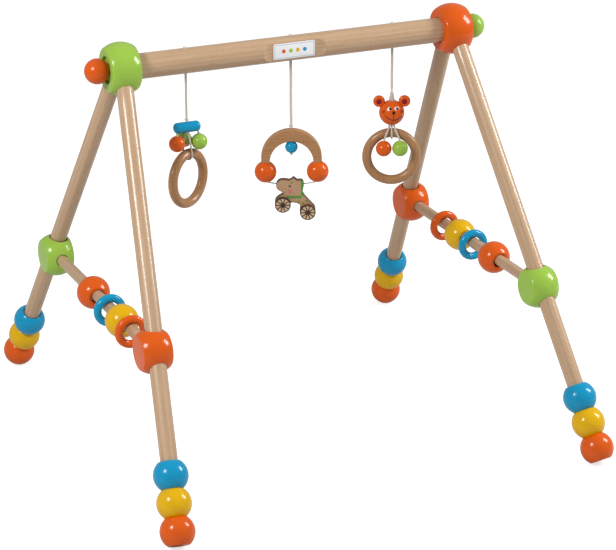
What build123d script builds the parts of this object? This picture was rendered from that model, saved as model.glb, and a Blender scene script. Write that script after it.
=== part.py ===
from build123d import *
import math
import os

# A wooden activity play gym: two A-shaped frames of turned legs and ball joints carry a round
# top bar, three toys hang from the bar on cords, and loose beads and rings slide on a crossbar
# low down in each frame. X runs along the top bar, -Y is the front, and the feet stand on Z = 0.
# All sizes are in millimetres and all angles in degrees.

# ---- Frame sizes ----
hub_spacing = 426.6  # between the two hub centres, along the bar
leg_spread = 32.27  # fore and aft slope of a leg from upright
leg_splay = 6.73  # sideways slope of a leg from upright
leg_reach = 533.6  # from the bar's axis down a leg to the middle of its last foot bead
leg_offset = 7.7  # how far a leg's axis passes in front of or behind the hub's centre
leg_diameter = 20.0
bar_diameter = 30.0
crossbar_diameter = 14.0
glue_wall = 1.5  # least wood left between two blind holes
edge_round = 1.2  # eased edge of a turned wooden piece

# ---- The bar's milled recess and its plate ----
recess_depth = 4.5
recess_flat_length = 55.0
recess_run_out = 21.0  # radius of the cutter that leaves the rounded ends
plate_length = 53.0
plate_height = 19.0
plate_thickness = 0.8

# ---- Hubs, knobs and their screws ----
hub_diameter = 62.0
hub_width = 36.0
hub_edge_round = 3.0
bar_socket_depth = 13.0
knob_diameter = 30.0
knob_pocket_room = 1.0  # between the knob's widest part and the pocket's wall
knob_pocket_depth = 4.3
hub_rim_chamfer = 0.8  # on the rims of the socket and the pocket
knob_flat_depth = 0.6  # how much of the ball is faced off where it meets the hub
screw_diameter = 8.0
screw_in_knob = 18.0
screw_in_bar = 16.0
insert_diameter = 13.0
insert_length = 20.0

# ---- Joint blocks, foot beads and crossbar pieces ----
block_diameter = 53.0
block_width = 35.0
block_reach = 333.4  # along the leg from the bar's axis
block_offset = 11.2  # how far the block's centre sits inside the leg's axis
block_edge_round = 2.0
foot_bead_diameter = 40.0
foot_bead_length = 31.4
foot_socket_depth = 14.0
slider_ball_diameter = 40.0
slider_ball_length = 33.0
slider_ball_play = 3.0  # how much wider a sliding ball's bore is than the crossbar
slider_ring_diameter = 40.0
slider_ring_thickness = 9.6

# How far behind the crossbar's middle each loose bead or ring rests.
slider_places = {
    "left": {
        "orange_ring": -101.8,
        "yellow_ball": -70.3,
        "blue_ring": -27.5,
        "orange_ball": 31.2,
    },
    "right": {
        "orange_ball": -60.7,
        "blue_ring": -4.4,
        "yellow_ball": 31.3,
        "orange_ring": 75.3,
    },
}

# ---- Toys and cords ----
toy_spacing = 133.5  # between neighbouring cords
cord_hole_diameter = 4.4
top_knot_diameter = 6.4
top_knot_height = 1.6  # centre of a stopper knot above the bar's top
hang_point_drop = 1.2  # a cord bends this far below the bar's underside
gripping_ring_diameter = 72.0
gripping_ring_thickness = 11.5
small_ball_diameter = 19.4
tie_cord_diameter = 1.8
left_cord_diameter = 2.4
middle_cord_diameter = 3.0
right_cord_diameter = 2.7

# Toy 1, on the left: a peg carrying three balls and a gripping ring
left_knot_drop = 71.7  # all drops are below the bar's axis
left_knot_diameter = 4.2
peg_drop = 80.6
peg_diameter = 12.8
peg_length = 33.0
peg_end_flat = 3.0  # width of the flat left on the peg's domed ends
peg_cord_out = 12.5  # from the peg's middle to the holes for the outer ties
peg_middle_tie = -4.0  # where the middle ball's tie leaves the peg
peg_ball_gap = 4.2  # least room between the middle ball and the cord's line, behind it
left_ring_top_drop = 107.9
left_ring_turn = 33.0

# Toy 2, in the middle: an arch with two balls, a drop bead and a horse on wheels
middle_knot_drop = 96.4
middle_knot_diameter = 5.0
arch_top_drop = 99.9
arch_height = 42.5
arch_outer_radius = 36.6
arch_leg_width = 10.3
arch_crown = 15.3  # height of the wood at the middle of the arch
arch_thickness = 9.5
arch_ball_diameter = 26.6
arch_foot_depth = 5.0  # how far an arch leg is let into its ball
arch_ball_below_foot = 1.9  # from the ball's top to the level where the arch's leg meets it
drop_bead_diameter = 15.2
drop_knot_diameter = 3.6
drop_knot_low = 1.1  # the knot's centre below the bead
toy_turn = -23.0  # the middle and right toys hang turned a little about their cords
sling_drop = 169.9
sling_half_hole = 16.2  # from the middle of the horse's head to where the sling comes out
sling_bend_out = 6.0  # from there to where the sling bends upwards
sling_hole_diameter = 2.4
sling_cord_diameter = 1.4
cord_seat = 1.0  # how far a cord's end is let into the wood that holds it
horse_thickness = 8.0
horse_tilt = -17.9
wheel_base = 31.6
front_wheel_place = (-3.0, -26.5)  # from the sling's hole, with the horse level
foot_lobe_radius = 9.6
wheel_diameter = 19.2
wheel_thickness = 4.0
wheel_gap = 0.5
axle_diameter = 4.0

# The horse's outline, drawn level with its nose to the left, from its sling hole.
horse_outline = [
    (-17.9, -5.2),
    (-15.6, 1.5),
    (-9.0, 4.2),
    (-3.2, 6.0),
    (-0.5, 9.5),
    (3.8, 7.8),
    (9.6, 9.3),
    (14.2, 3.5),
    (15.3, -4.5),
    (20.5, -9.5),
    (27.5, -13.8),
    (34.8, -19.0),
    (38.2, -27.0),
    (26.0, -26.0),
    (14.0, -20.5),
    (5.0, -22.0),
    (-5.0, -24.0),
    (-9.5, -17.5),
    (-6.5, -13.0),
    (-10.5, -11.8),
]

# Toy 3, on the right: a bear's head over a gripping ring and two balls
right_knot_drop = 68.5
right_knot_diameter = 3.2
bundle_foot_diameter = 7.2  # the strands splay to this where they meet the head
head_drop = 96.4
head_diameter = 31.0
ear_diameter = 13.2
ear_thickness = 6.4
ear_rim_flat = 1.2  # width of the flat left on an ear's rounded rim
ear_out = 15.5
ear_up = 14.9
right_ring_top_drop = 116.4
right_ball_drop = 139.2
right_ball_gap = 0.6  # between the two balls
right_ball_room = 1.2  # from the back of a ball to the plane through the ring's middle
neck_strand_out = 2.4  # where the two strands leave the head, from its axis
neck_strand_forward = 1.2
mid_strand_out = 5.4  # where they pass the ring
mid_strand_room = 0.9  # and how far clear of it

# ---- Clearances ----
running_gap = 0.3  # between pieces that move past each other
loose_gap = 0.35  # under a piece that hangs on another

# ---- Places worked out from the sizes ----
spread_slope = math.tan(math.radians(leg_spread))
splay_slope = math.tan(math.radians(leg_splay))
leg_unit = math.sqrt(1 + spread_slope**2 + splay_slope**2)
leg_drop = 1 / leg_unit  # fall per unit of length along a leg
leg_fore = spread_slope / leg_unit
leg_out = splay_slope / leg_unit
slope = math.sqrt(1 - leg_drop**2)  # the leg's sideways run per unit of its length
rim_height = foot_bead_length / 2 - edge_round
rim_radius = math.sqrt((foot_bead_diameter / 2 - edge_round) ** 2 - rim_height**2)
foot_lowest = rim_height * leg_drop + rim_radius * slope + edge_round
hub_height = leg_reach * leg_drop + foot_lowest
hub_x = hub_spacing / 2
bar_radius = bar_diameter / 2
bar_socket_radius = bar_radius + running_gap
bar_half_length = hub_x - hub_width / 2 + bar_socket_depth - running_gap
leg_top = bar_socket_radius + glue_wall - leg_offset * math.sin(math.radians(leg_spread))
leg_end = leg_reach - foot_bead_length / 2 + foot_socket_depth
block_x = hub_x + block_reach * leg_out
block_y = leg_offset + block_reach * leg_fore - block_offset
block_z = hub_height - block_reach * leg_drop
block_side = block_offset * leg_drop  # from the block's centre square out to the leg's axis
crossbar_radius = crossbar_diameter / 2
bore_edge = block_side - leg_diameter / 2 - glue_wall
crossbar_stop = (crossbar_radius * slope - bore_edge) / leg_drop
crossbar_half_length = block_y - crossbar_stop
hang_height = hub_height - bar_radius - hang_point_drop
ring_tube_radius = gripping_ring_thickness / 2
ring_middle_radius = (gripping_ring_diameter - gripping_ring_thickness) / 2
small_ball_radius = small_ball_diameter / 2
knob_pocket_diameter = knob_diameter + 2 * knob_pocket_room
slider_ball_bore = crossbar_diameter + slider_ball_play
left_ring_drop = left_ring_top_drop + gripping_ring_diameter / 2
right_ring_drop = right_ring_top_drop + gripping_ring_diameter / 2
right_ball_out = small_ball_radius + right_ball_gap / 2
right_ball_forward = small_ball_radius + right_ball_room
cord_diameters = {-1: left_cord_diameter, 0: middle_cord_diameter, 1: right_cord_diameter}
sides = {"left": -1, "right": 1}
rows = {"front": -1, "back": 1}


def leg_direction(side, row):
    """Unit vector down a leg; side is -1 left or 1 right, row is -1 front or 1 back."""
    return Vector(side * leg_out, row * leg_fore, -leg_drop)


def leg_plane(side, row, reach):
    """A plane square to a leg, at a distance down it from the bar's axis."""
    start = Vector(side * hub_x, row * leg_offset, hub_height)
    down = leg_direction(side, row)
    return Plane(origin=start + down * reach, x_dir=(1, 0, 0), z_dir=down)


def rod(diameter, start, end):
    """A round rod with square ends from one point to another."""
    start, end = Vector(*start), Vector(*end)
    axis = end - start
    body = Cylinder(diameter / 2, axis.length, align=(Align.CENTER, Align.CENTER, Align.MIN))
    return Plane(origin=start, z_dir=axis) * body


def cord_tube(diameter, points):
    """A cord along straight runs joined by tangent arcs, each as large as its runs allow."""
    points = [Vector(*p) for p in points]
    edges = []
    here = points[0]
    for before, corner, after in zip(points, points[1:], points[2:]):
        run_in, run_out = corner - before, after - corner
        turn = math.radians(run_in.get_angle(run_out))
        reach = 0.45 * min(run_in.length, run_out.length)
        a = corner - run_in.normalized() * reach
        b = corner + run_out.normalized() * reach
        edges.append(Line(here, a))
        edges.append(TangentArc(a, b, tangent=run_in.normalized()))
        print("cord arc radius", round(reach / math.tan(turn / 2), 1), "diameter", diameter)
        here = b
    edges.append(Line(here, points[-1]))
    path = Wire([e.edge() for e in edges])
    start = Plane(origin=points[0], z_dir=points[1] - points[0])
    return sweep(start * Circle(diameter / 2), path=path)


def turned_ball(diameter, length, bore=0.0, rounding=edge_round):
    """A ball with its two ends faced off along Z and, if asked, a bore through it."""
    ball = Sphere(diameter / 2) & Cylinder(diameter, length)
    rims = ball.edges().filter_by(GeomType.CIRCLE)
    ball = fillet([e for e in rims if abs(e.center().Z) > length / 2 - 0.01], rounding)
    if bore:
        ball -= Cylinder(bore / 2, 2 * diameter)
    return ball


def along(direction, centre):
    """A frame whose Z runs along a direction, with its origin at a point."""
    return Plane(origin=centre, z_dir=direction)


def toy_plane(index, drop, turn=0.0):
    """The upright frame of a toy: X to its right, Z up, at a drop below the bar's axis."""
    return Plane(origin=(index * toy_spacing, 0, hub_height - drop), z_dir=(0, 0, 1)) * Rot(0, 0, turn)


# ---- Frames ----
def hub(side):
    """A ball with faced sides: bar socket inside, knob pocket outside, two leg holes below."""
    body = Sphere(hub_diameter / 2) & Box(hub_width, hub_diameter, hub_diameter)
    body = fillet(body.edges().filter_by(GeomType.CIRCLE), hub_edge_round)
    inner = -hub_width / 2
    socket = rod(2 * bar_socket_radius, (inner - 1, 0, 0), (inner + bar_socket_depth, 0, 0))
    pocket = rod(knob_pocket_diameter, (hub_width / 2 - knob_pocket_depth, 0, 0), (hub_width, 0, 0))
    screw_hole = rod(screw_diameter + 2 * running_gap, (-hub_width, 0, 0), (hub_width, 0, 0))
    body -= [socket, pocket, screw_hole]
    rims = body.edges().filter_by(GeomType.CIRCLE)
    rims = [e for e in rims if abs(abs(e.center().X) - hub_width / 2) < 0.01]
    wide = [e for e in rims if e.radius > screw_diameter]
    body = chamfer([e for e in wide if e.radius < knob_pocket_diameter / 2 + 0.01], hub_rim_chamfer)
    if side < 0:
        body = mirror(body, about=Plane.YZ)
    body = Pos(side * hub_x, 0, hub_height) * body
    for row in rows.values():
        hole = Cylinder(leg_diameter / 2, hub_diameter, align=(Align.CENTER, Align.CENTER, Align.MIN))
        body -= leg_plane(side, row, leg_top) * hole
    return body


def leg(side, row):
    """A round leg from its blind hole in the hub to its socket in the last foot bead."""
    length = leg_end - leg_top
    body = Cylinder(leg_diameter / 2, length, align=(Align.CENTER, Align.CENTER, Align.MIN))
    return leg_plane(side, row, leg_top) * body


def joint_block(side, row):
    """A ball with faced sides, bored off-centre for the leg and blind for the crossbar."""
    body = Sphere(block_diameter / 2) & Box(block_width, block_diameter, block_diameter)
    body = fillet(body.edges().filter_by(GeomType.CIRCLE), block_edge_round)
    body = Pos(side * block_x, row * block_y, block_z) * body
    body -= leg_plane(side, row, block_reach) * Cylinder(leg_diameter / 2, 2 * block_diameter)
    body -= crossbar(side)
    return body


def crossbar(side):
    """The thin rod between the two joint blocks of a frame."""
    start = (side * block_x, -crossbar_half_length, block_z)
    end = (side * block_x, crossbar_half_length, block_z)
    return rod(crossbar_diameter, start, end)


def foot_beads(side, from_end):
    """The beads of one colour on both legs of a frame, counted from the feet."""
    beads = []
    for row in rows.values():
        bead = turned_ball(foot_bead_diameter, foot_bead_length)
        bead = leg_plane(side, row, leg_reach - from_end * foot_bead_length) * bead
        beads.append(bead - leg(side, row))
    return Compound(children=beads)


def knob(side):
    """The ball on a screw that pulls a hub onto the bar, with a small facet toward the hub."""
    centre_x = hub_width / 2 - knob_pocket_depth + running_gap + knob_diameter / 2 - knob_flat_depth
    facet = knob_diameter / 2 - knob_flat_depth
    ball = Sphere(knob_diameter / 2) & Pos(knob_diameter / 2 - facet, 0, 0) * Box(*[knob_diameter] * 3)
    ball -= rod(screw_diameter, (-knob_diameter, 0, 0), (-facet + screw_in_knob, 0, 0))
    ball = Pos(centre_x, 0, 0) * ball
    if side < 0:
        ball = mirror(ball, about=Plane.YZ)
    return Pos(side * hub_x, 0, hub_height) * ball


def knob_screw(side):
    """The threaded rod glued in a knob, through the hub and into the bar's insert."""
    outer = hub_x + hub_width / 2 - knob_pocket_depth + running_gap + screw_in_knob
    inner = bar_half_length - screw_in_bar
    return rod(screw_diameter, (side * inner, 0, hub_height), (side * outer, 0, hub_height))


# ---- Top bar ----
def bar_insert(side):
    """A threaded sleeve let into one end of the bar."""
    start = (side * (bar_half_length - insert_length), 0, hub_height)
    end = (side * bar_half_length, 0, hub_height)
    return rod(insert_diameter, start, end) - rod(screw_diameter + 2 * running_gap, start, end)


def bar_recess():
    """The shallow milled flat on the bar's front that takes the plate."""
    axis_y = -(bar_radius - recess_depth) - recess_run_out
    cutter = Cylinder(recess_run_out, 2 * bar_diameter)
    ends = [Pos(x * recess_flat_length / 2, axis_y, hub_height) * cutter for x in (-1, 1)]
    middle = Box(recess_flat_length, 2 * recess_run_out, 2 * bar_diameter)
    return ends + [Pos(0, axis_y, hub_height) * middle]


def top_bar():
    """The round bar with its recess, the insert holes and the three cord holes."""
    body = rod(bar_diameter, (-bar_half_length, 0, hub_height), (bar_half_length, 0, hub_height))
    body -= bar_recess()
    for side in sides.values():
        start = (side * (bar_half_length - insert_length), 0, hub_height)
        body -= rod(insert_diameter, start, (side * 2 * bar_half_length, 0, hub_height))
    for index in (-1, 0, 1):
        x = index * toy_spacing
        low, high = (x, 0, hub_height - bar_diameter), (x, 0, hub_height + bar_diameter)
        body -= rod(cord_hole_diameter, low, high)
        body -= Pos(x, 0, hub_height + bar_radius + top_knot_height) * Sphere(top_knot_diameter / 2)
    return body


def label_plate():
    """A plain pale plate on the recess's flat."""
    y = -(bar_radius - recess_depth) - plate_thickness / 2
    return Pos(0, y, hub_height) * Box(plate_length, plate_thickness, plate_height)


def top_knots():
    """The stopper knots on top of the bar, each with the cord that fills its hole."""
    knots = []
    for index in (-1, 0, 1):
        x = index * toy_spacing
        knot = Pos(x, 0, hub_height + bar_radius + top_knot_height) * Sphere(top_knot_diameter / 2)
        low = hang_height + cord_diameters[index] / 2 + running_gap
        stub = rod(cord_hole_diameter, (x, 0, low), (x, 0, hub_height + bar_radius))
        knots.append(knot + stub)
    return Compound(children=knots)


# ---- Loose beads and rings on the crossbars ----
def slider(side, kind, place):
    """A ball or a ring hanging loose on a crossbar, its hole's top just over the bar."""
    if kind.endswith("ring"):
        bore = slider_ring_diameter - 2 * slider_ring_thickness
        body = Torus((slider_ring_diameter - slider_ring_thickness) / 2, slider_ring_thickness / 2)
    else:
        bore = slider_ball_bore
        body = turned_ball(slider_ball_diameter, slider_ball_length, bore)
    drop = bore / 2 - crossbar_radius - loose_gap
    return along((0, 1, 0), (side * block_x, place, block_z - drop)) * body


# ---- Hanging cords, shared by the toys ----
def hanging_cord(index, knot_drop, knot_diameter):
    """The straight cord from the bar to the toy's knot, with a rounded top end."""
    x = index * toy_spacing
    diameter = cord_diameters[index]
    low = hub_height - knot_drop + knot_diameter / 2 + running_gap
    body = rod(diameter, (x, 0, low), (x, 0, hang_height))
    return body + Pos(x, 0, hang_height) * Sphere(diameter / 2)


def gripping_ring(index, drop, turn):
    """A wooden ring standing upright, turned about the cord."""
    body = Rot(90, 0, 0) * Torus(ring_middle_radius, ring_tube_radius)
    return toy_plane(index, drop, turn) * body


def ring_loop(index, ring_drop, turn, top_drop):
    """The cord loop that holds a gripping ring, with the strand up to what it hangs from."""
    inside = ring_tube_radius + loose_gap
    loop = Rot(0, 90, 0) * Torus(inside + tie_cord_diameter / 2, tie_cord_diameter / 2)
    tube_drop = ring_drop - ring_middle_radius
    loop = toy_plane(index, tube_drop, turn) * loop
    x = index * toy_spacing
    strand_low = hub_height - tube_drop + inside + tie_cord_diameter / 2
    return loop + rod(tie_cord_diameter, (x, 0, strand_low), (x, 0, hub_height - top_drop))


# ---- Toy 1 ----
# Ball places from the toy's axis: right, back, and the drop below the bar's axis.
peg_balls = {
    "peg_orange_ball": (-small_ball_radius - 4.6, -4.0, 98.6),
    "peg_green_ball": (small_ball_radius + 5.5, 0.0, 100.2),
    "peg_middle_ball": (1.0, small_ball_radius + peg_ball_gap, 99.2),
}


def peg():
    """The blue peg with domed ends."""
    body = Rot(0, 90, 0) * Cylinder(peg_diameter / 2, peg_length)
    body = fillet(body.edges().filter_by(GeomType.CIRCLE), (peg_diameter - peg_end_flat) / 2)
    return toy_plane(-1, peg_drop) * body


def peg_ball(name):
    """One of the small balls under the peg."""
    right, back, drop = peg_balls[name]
    return toy_plane(-1, drop) * Pos(right, back, 0) * Sphere(small_ball_radius)


def peg_ties():
    """The cord ties from the peg to its three balls, and the loop round the ring."""
    ties = []
    solid_parts = [peg()] + [peg_ball(name) for name in peg_balls]
    starts = {
        "peg_orange_ball": -peg_cord_out,
        "peg_green_ball": peg_cord_out,
        "peg_middle_ball": peg_middle_tie,
    }
    for name, start_x in starts.items():
        right, back, drop = peg_balls[name]
        start = (-toy_spacing + start_x, 0, hub_height - peg_drop)
        end = (-toy_spacing + right, back, hub_height - drop)
        ties.append(rod(tie_cord_diameter, start, end))
    ties.append(ring_loop(-1, left_ring_drop, left_ring_turn, peg_drop))
    cleared = []
    for tie in ties:
        for part in solid_parts:
            tie = tie - part
        cleared += tie.solids()
    return Compound(children=cleared)


# ---- Toy 2 ----
arch_foot_drop = arch_top_drop + arch_height
arch_ball_drop = arch_foot_drop + arch_ball_diameter / 2 - arch_ball_below_foot
arch_leg_out = arch_outer_radius - arch_leg_width / 2
drop_bead_drop = arch_top_drop + arch_crown + drop_bead_diameter / 2


def arch():
    """A flat arch: half rings outside and inside, with short straight legs into the balls."""
    foot = -arch_height - arch_foot_depth
    with_legs = arch_height - arch_outer_radius
    inner_radius = arch_outer_radius - arch_leg_width
    outline = Pos(0, -arch_outer_radius) * Circle(arch_outer_radius)
    outline = outline & Pos(0, -arch_outer_radius / 2) * Rectangle(4 * arch_outer_radius, arch_outer_radius)
    leg_length = with_legs + arch_foot_depth
    outline += Pos(0, -arch_outer_radius - leg_length / 2) * Rectangle(2 * arch_outer_radius, leg_length)
    inner_centre = -arch_crown - inner_radius
    outline -= Pos(0, inner_centre) * Circle(inner_radius)
    below = inner_centre - foot
    outline -= Pos(0, inner_centre - below / 2) * Rectangle(2 * inner_radius, below)
    body = extrude(Plane.XZ * outline, arch_thickness / 2, both=True)
    long_edges = [e for e in body.edges() if abs(abs(e.center().Y) - arch_thickness / 2) < 0.01]
    long_edges = [e for e in long_edges if e.center().Z > foot + 0.01]
    body = fillet(long_edges, edge_round)
    body -= Cylinder(middle_cord_diameter / 2, 4 * arch_crown)
    return toy_plane(0, arch_top_drop, toy_turn) * body


def arch_balls():
    """The two balls on the arch's legs."""
    balls = []
    for side in (-1, 1):
        ball = Pos(side * arch_leg_out, 0, 0) * Sphere(arch_ball_diameter / 2)
        ball = toy_plane(0, arch_ball_drop, toy_turn) * ball
        balls.append(ball - arch())
    return Compound(children=balls)


def drop_bead():
    """The small bead under the crown of the arch, with the knot that holds it."""
    bead = toy_plane(0, drop_bead_drop, toy_turn) * Sphere(drop_bead_diameter / 2)
    knot_drop = drop_bead_drop + drop_bead_diameter / 2 + drop_knot_low
    knot = toy_plane(0, knot_drop, toy_turn) * Sphere(drop_knot_diameter / 2)
    stem_top = hub_height - arch_top_drop
    stem = rod(middle_cord_diameter, (0, 0, hub_height - drop_bead_drop), (0, 0, stem_top))
    return bead + knot + stem


def horse_frame():
    """The horse's own frame: X along its level back, Z up, tilted as it hangs."""
    return toy_plane(0, sling_drop, toy_turn) * Rot(0, -horse_tilt, 0)


def wheel_places():
    """Front and rear axle places in the horse's level frame."""
    x, z = front_wheel_place
    return {"front": (x, z), "rear": (x + wheel_base, z)}


def horse_body():
    """The flat horse with round feet, an axle hole in each, and the sling's hole in its head."""
    profile = make_face(Spline([Vector(x, z) for x, z in horse_outline], periodic=True))
    for x, z in wheel_places().values():
        profile += Pos(x, z) * Circle(foot_lobe_radius)
    body = extrude(Plane.XZ * profile, horse_thickness / 2, both=True)
    for x, z in wheel_places().values():
        hole = Cylinder(axle_diameter / 2 + running_gap, 2 * horse_thickness)
        body -= Pos(x, 0, z) * Rot(90, 0, 0) * hole
    body = horse_frame() * body
    left = toy_plane(0, sling_drop, toy_turn) * Pos(-arch_outer_radius, 0, 0)
    right = toy_plane(0, sling_drop, toy_turn) * Pos(arch_outer_radius, 0, 0)
    return body - rod(sling_hole_diameter, left.position, right.position)


def horse_wheels(which):
    """A pair of wheels fixed on an axle through one of the horse's feet."""
    x, z = wheel_places()[which]
    inside = horse_thickness / 2 + wheel_gap
    axle = Rot(90, 0, 0) * Cylinder(axle_diameter / 2, 2 * (inside + wheel_thickness))
    wheel = Rot(90, 0, 0) * Cylinder(wheel_diameter / 2, wheel_thickness)
    pair = axle
    for side in (-1, 1):
        pair += Pos(0, side * (inside + wheel_thickness / 2), 0) * wheel
    return horse_frame() * Pos(x, 0, z) * pair


def sling():
    """The thin cord from one arch ball through the horse's head to the other."""
    ball_low = arch_ball_drop + arch_ball_diameter / 2 - cord_seat
    frame = toy_plane(0, 0, toy_turn)
    points = [
        (-arch_leg_out, 0, -ball_low),
        (-sling_half_hole - sling_bend_out, 0, -sling_drop),
        (sling_half_hole + sling_bend_out, 0, -sling_drop),
        (arch_leg_out, 0, -ball_low),
    ]
    return cord_tube(sling_cord_diameter, [(frame * Pos(*p)).position for p in points]) - arch_balls()


# ---- Toy 3 ----
def bear_head():
    """The round head."""
    return toy_plane(1, head_drop, toy_turn) * Sphere(head_diameter / 2)


def bear_ears():
    """Two thick rounded discs seated on the head."""
    ears = []
    for side in (-1, 1):
        ear = Rot(90, 0, 0) * Cylinder(ear_diameter / 2, ear_thickness)
        ear = fillet(ear.edges().filter_by(GeomType.CIRCLE), (ear_thickness - ear_rim_flat) / 2)
        ear = toy_plane(1, head_drop, toy_turn) * Pos(side * ear_out, 0, ear_up) * ear
        ears.append(ear - bear_head())
    return Compound(children=ears)


def strand_bundle():
    """The bundle of strands that splays out between the cord's knot and the head."""
    top = hub_height - right_knot_drop - right_knot_diameter / 2 - running_gap
    low = hub_height - head_drop + head_diameter / 2 - cord_seat
    radii = (bundle_foot_diameter / 2, right_knot_diameter / 2)
    cone = Cone(*radii, top - low, align=(Align.CENTER, Align.CENTER, Align.MIN))
    return Pos(toy_spacing, 0, low) * cone - bear_head()


def bear_ball(side):
    """A small ball hanging in front of the ring."""
    place = toy_plane(1, right_ball_drop, toy_turn)
    return place * Pos(side * right_ball_out, -right_ball_forward, 0) * Sphere(small_ball_radius)


def bear_ties():
    """The bundle above the head, a strand below it to each ball, and the ring's loop."""
    frame = toy_plane(1, 0, toy_turn)
    neck = -(head_drop + head_diameter / 2 - cord_seat)
    clear_out = ring_tube_radius + tie_cord_diameter / 2 + loose_gap + mid_strand_room
    cord_seat_in_ball = -(right_ball_drop - small_ball_radius + cord_seat)
    strands = strand_bundle().solids()
    for side in (-1, 1):
        points = [
            (side * neck_strand_out, -neck_strand_forward, neck),
            (side * mid_strand_out, -clear_out, -(right_ring_drop - ring_middle_radius - cord_seat)),
            (side * right_ball_out, -right_ball_forward, cord_seat_in_ball),
        ]
        strand = cord_tube(tie_cord_diameter, [(frame * Pos(*p)).position for p in points])
        strands += (strand - bear_head() - bear_ball(side)).solids()
    loop = ring_loop(1, right_ring_drop, toy_turn, head_drop)
    strands += (loop - bear_head()).solids()
    return Compound(children=strands)


# ---- All nodes ----
def build_nodes():
    """Every node of the gym by name."""
    nodes = {"top_bar": top_bar(), "label_plate": label_plate(), "bar_top_knots": top_knots()}
    nodes["bar_inserts"] = Compound(children=[bar_insert(side) for side in sides.values()])
    for name, side in sides.items():
        nodes[f"{name}_hub"] = hub(side)
        nodes[f"{name}_knob"] = knob(side)
        nodes[f"{name}_knob_screw"] = knob_screw(side)
        nodes[f"{name}_crossbar"] = crossbar(side)
        for row_name, row in rows.items():
            nodes[f"{name}_{row_name}_leg"] = leg(side, row)
            nodes[f"{name}_{row_name}_block"] = joint_block(side, row)
        for from_end, colour in enumerate(("orange", "yellow", "blue")):
            nodes[f"{name}_{colour}_foot_beads"] = foot_beads(side, from_end)
        for kind, place in slider_places[name].items():
            nodes[f"{name}_sliding_{kind}"] = slider(side, kind, place)
    nodes["left_cord"] = hanging_cord(-1, left_knot_drop, left_knot_diameter)
    nodes["left_cord_knot"] = toy_plane(-1, left_knot_drop) * Sphere(left_knot_diameter / 2)
    nodes["blue_peg"] = peg()
    for name in peg_balls:
        nodes[name] = peg_ball(name)
    nodes["peg_tie_cords"] = peg_ties()
    nodes["left_gripping_ring"] = gripping_ring(-1, left_ring_drop, left_ring_turn)
    nodes["middle_cord"] = hanging_cord(0, middle_knot_drop, middle_knot_diameter)
    nodes["middle_cord_knot"] = toy_plane(0, middle_knot_drop) * Sphere(middle_knot_diameter / 2)
    nodes["arch"] = arch()
    nodes["arch_balls"] = arch_balls()
    nodes["blue_drop_bead"] = drop_bead()
    nodes["horse_sling_cord"] = sling()
    nodes["horse_body"] = horse_body()
    for which in wheel_places():
        nodes[f"horse_{which}_wheels"] = horse_wheels(which)
    nodes["right_cord"] = hanging_cord(1, right_knot_drop, right_knot_diameter)
    nodes["right_cord_knot"] = toy_plane(1, right_knot_drop) * Sphere(right_knot_diameter / 2)
    nodes["bear_head"] = bear_head()
    nodes["bear_ears"] = bear_ears()
    nodes["bear_orange_ball"] = bear_ball(-1)
    nodes["bear_green_ball"] = bear_ball(1)
    nodes["bear_tie_cords"] = bear_ties()
    nodes["right_gripping_ring"] = gripping_ring(1, right_ring_drop, toy_turn)
    return nodes


os.makedirs("parts", exist_ok=True)
for node_name, shape in build_nodes().items():
    export_step(shape, f"parts/{node_name}.step")
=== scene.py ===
import bmesh
import bpy
import math
from bpy.props import FloatProperty, FloatVectorProperty, IntProperty, PointerProperty
from mathutils import Matrix, Vector
from mathutils.kdtree import KDTree


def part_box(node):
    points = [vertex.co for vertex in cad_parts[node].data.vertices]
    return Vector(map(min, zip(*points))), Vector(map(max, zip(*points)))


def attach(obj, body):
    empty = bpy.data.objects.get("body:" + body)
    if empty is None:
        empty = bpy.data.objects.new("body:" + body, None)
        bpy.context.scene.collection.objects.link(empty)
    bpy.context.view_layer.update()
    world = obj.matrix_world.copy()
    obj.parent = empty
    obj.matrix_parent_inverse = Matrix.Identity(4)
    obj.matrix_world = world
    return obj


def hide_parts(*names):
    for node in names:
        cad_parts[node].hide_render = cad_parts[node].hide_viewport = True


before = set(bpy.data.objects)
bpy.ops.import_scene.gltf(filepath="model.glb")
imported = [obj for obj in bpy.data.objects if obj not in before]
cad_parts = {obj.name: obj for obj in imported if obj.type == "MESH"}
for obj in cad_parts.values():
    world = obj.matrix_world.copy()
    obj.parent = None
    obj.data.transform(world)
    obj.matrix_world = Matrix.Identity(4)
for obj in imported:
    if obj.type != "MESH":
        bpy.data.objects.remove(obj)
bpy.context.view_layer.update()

bl_info = {
    "name": "Activity play gym",
    "version": (1, 0, 0),
    "blender": (4, 5, 0),
    "location": "View3D > Sidebar > Play Gym",
    "description": "Makes the pieces and finishes of a wooden activity play gym",
    "category": "Object",
}

MM = 0.001
SIDES = {"left": -1, "right": 1}
ROWS = {"front": -1, "back": 1}
GRAIN = "grain_place"
RUN = "cord_run"
ON_AXIS = 1e-5

# A strand's place and radius in a cord, as shares of the cord's diameter.
STRAND_REACH = 0.28
STRAND_RADIUS = 0.34

# Sizes of the turned pieces and of the sling's place, in millimetres.
BAR_RADIUS = 15
LEG_RADIUS = 10
CROSSBAR_RADIUS = 7
BEAD_RADIUS = 20
BEAD_ROUNDING = 1.2
FOOT_BEAD_HALF = 15.7
LOOSE_BALL_HALF = 16.5
LOOSE_BALL_BORE = 8.5
LOOSE_RING_RADIUS = 15.2
LOOSE_RING_TUBE = 4.8
KNOB_RADIUS = 15
RING_RADIUS = 30.25
RING_TUBE = 5.75
HORSE_HALF = 4.0
SLING_DROP = 169.9

# How far a drill reaches, well out of its piece, in millimetres.
BEYOND = 60

# From the floor's middle to its edges, in metres.
FLOOR_REACH = 40.0


# ---- Settings ----
def colour(name, description, value):
    """A colour that the panel can change."""
    return FloatVectorProperty(
        name=name, description=description, default=value, subtype="COLOR", size=3, min=0, max=1
    )


def length(name, description, value):
    """A length that the panel can change."""
    return FloatProperty(name=name, description=description, default=value, unit="LENGTH", min=0)


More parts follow.
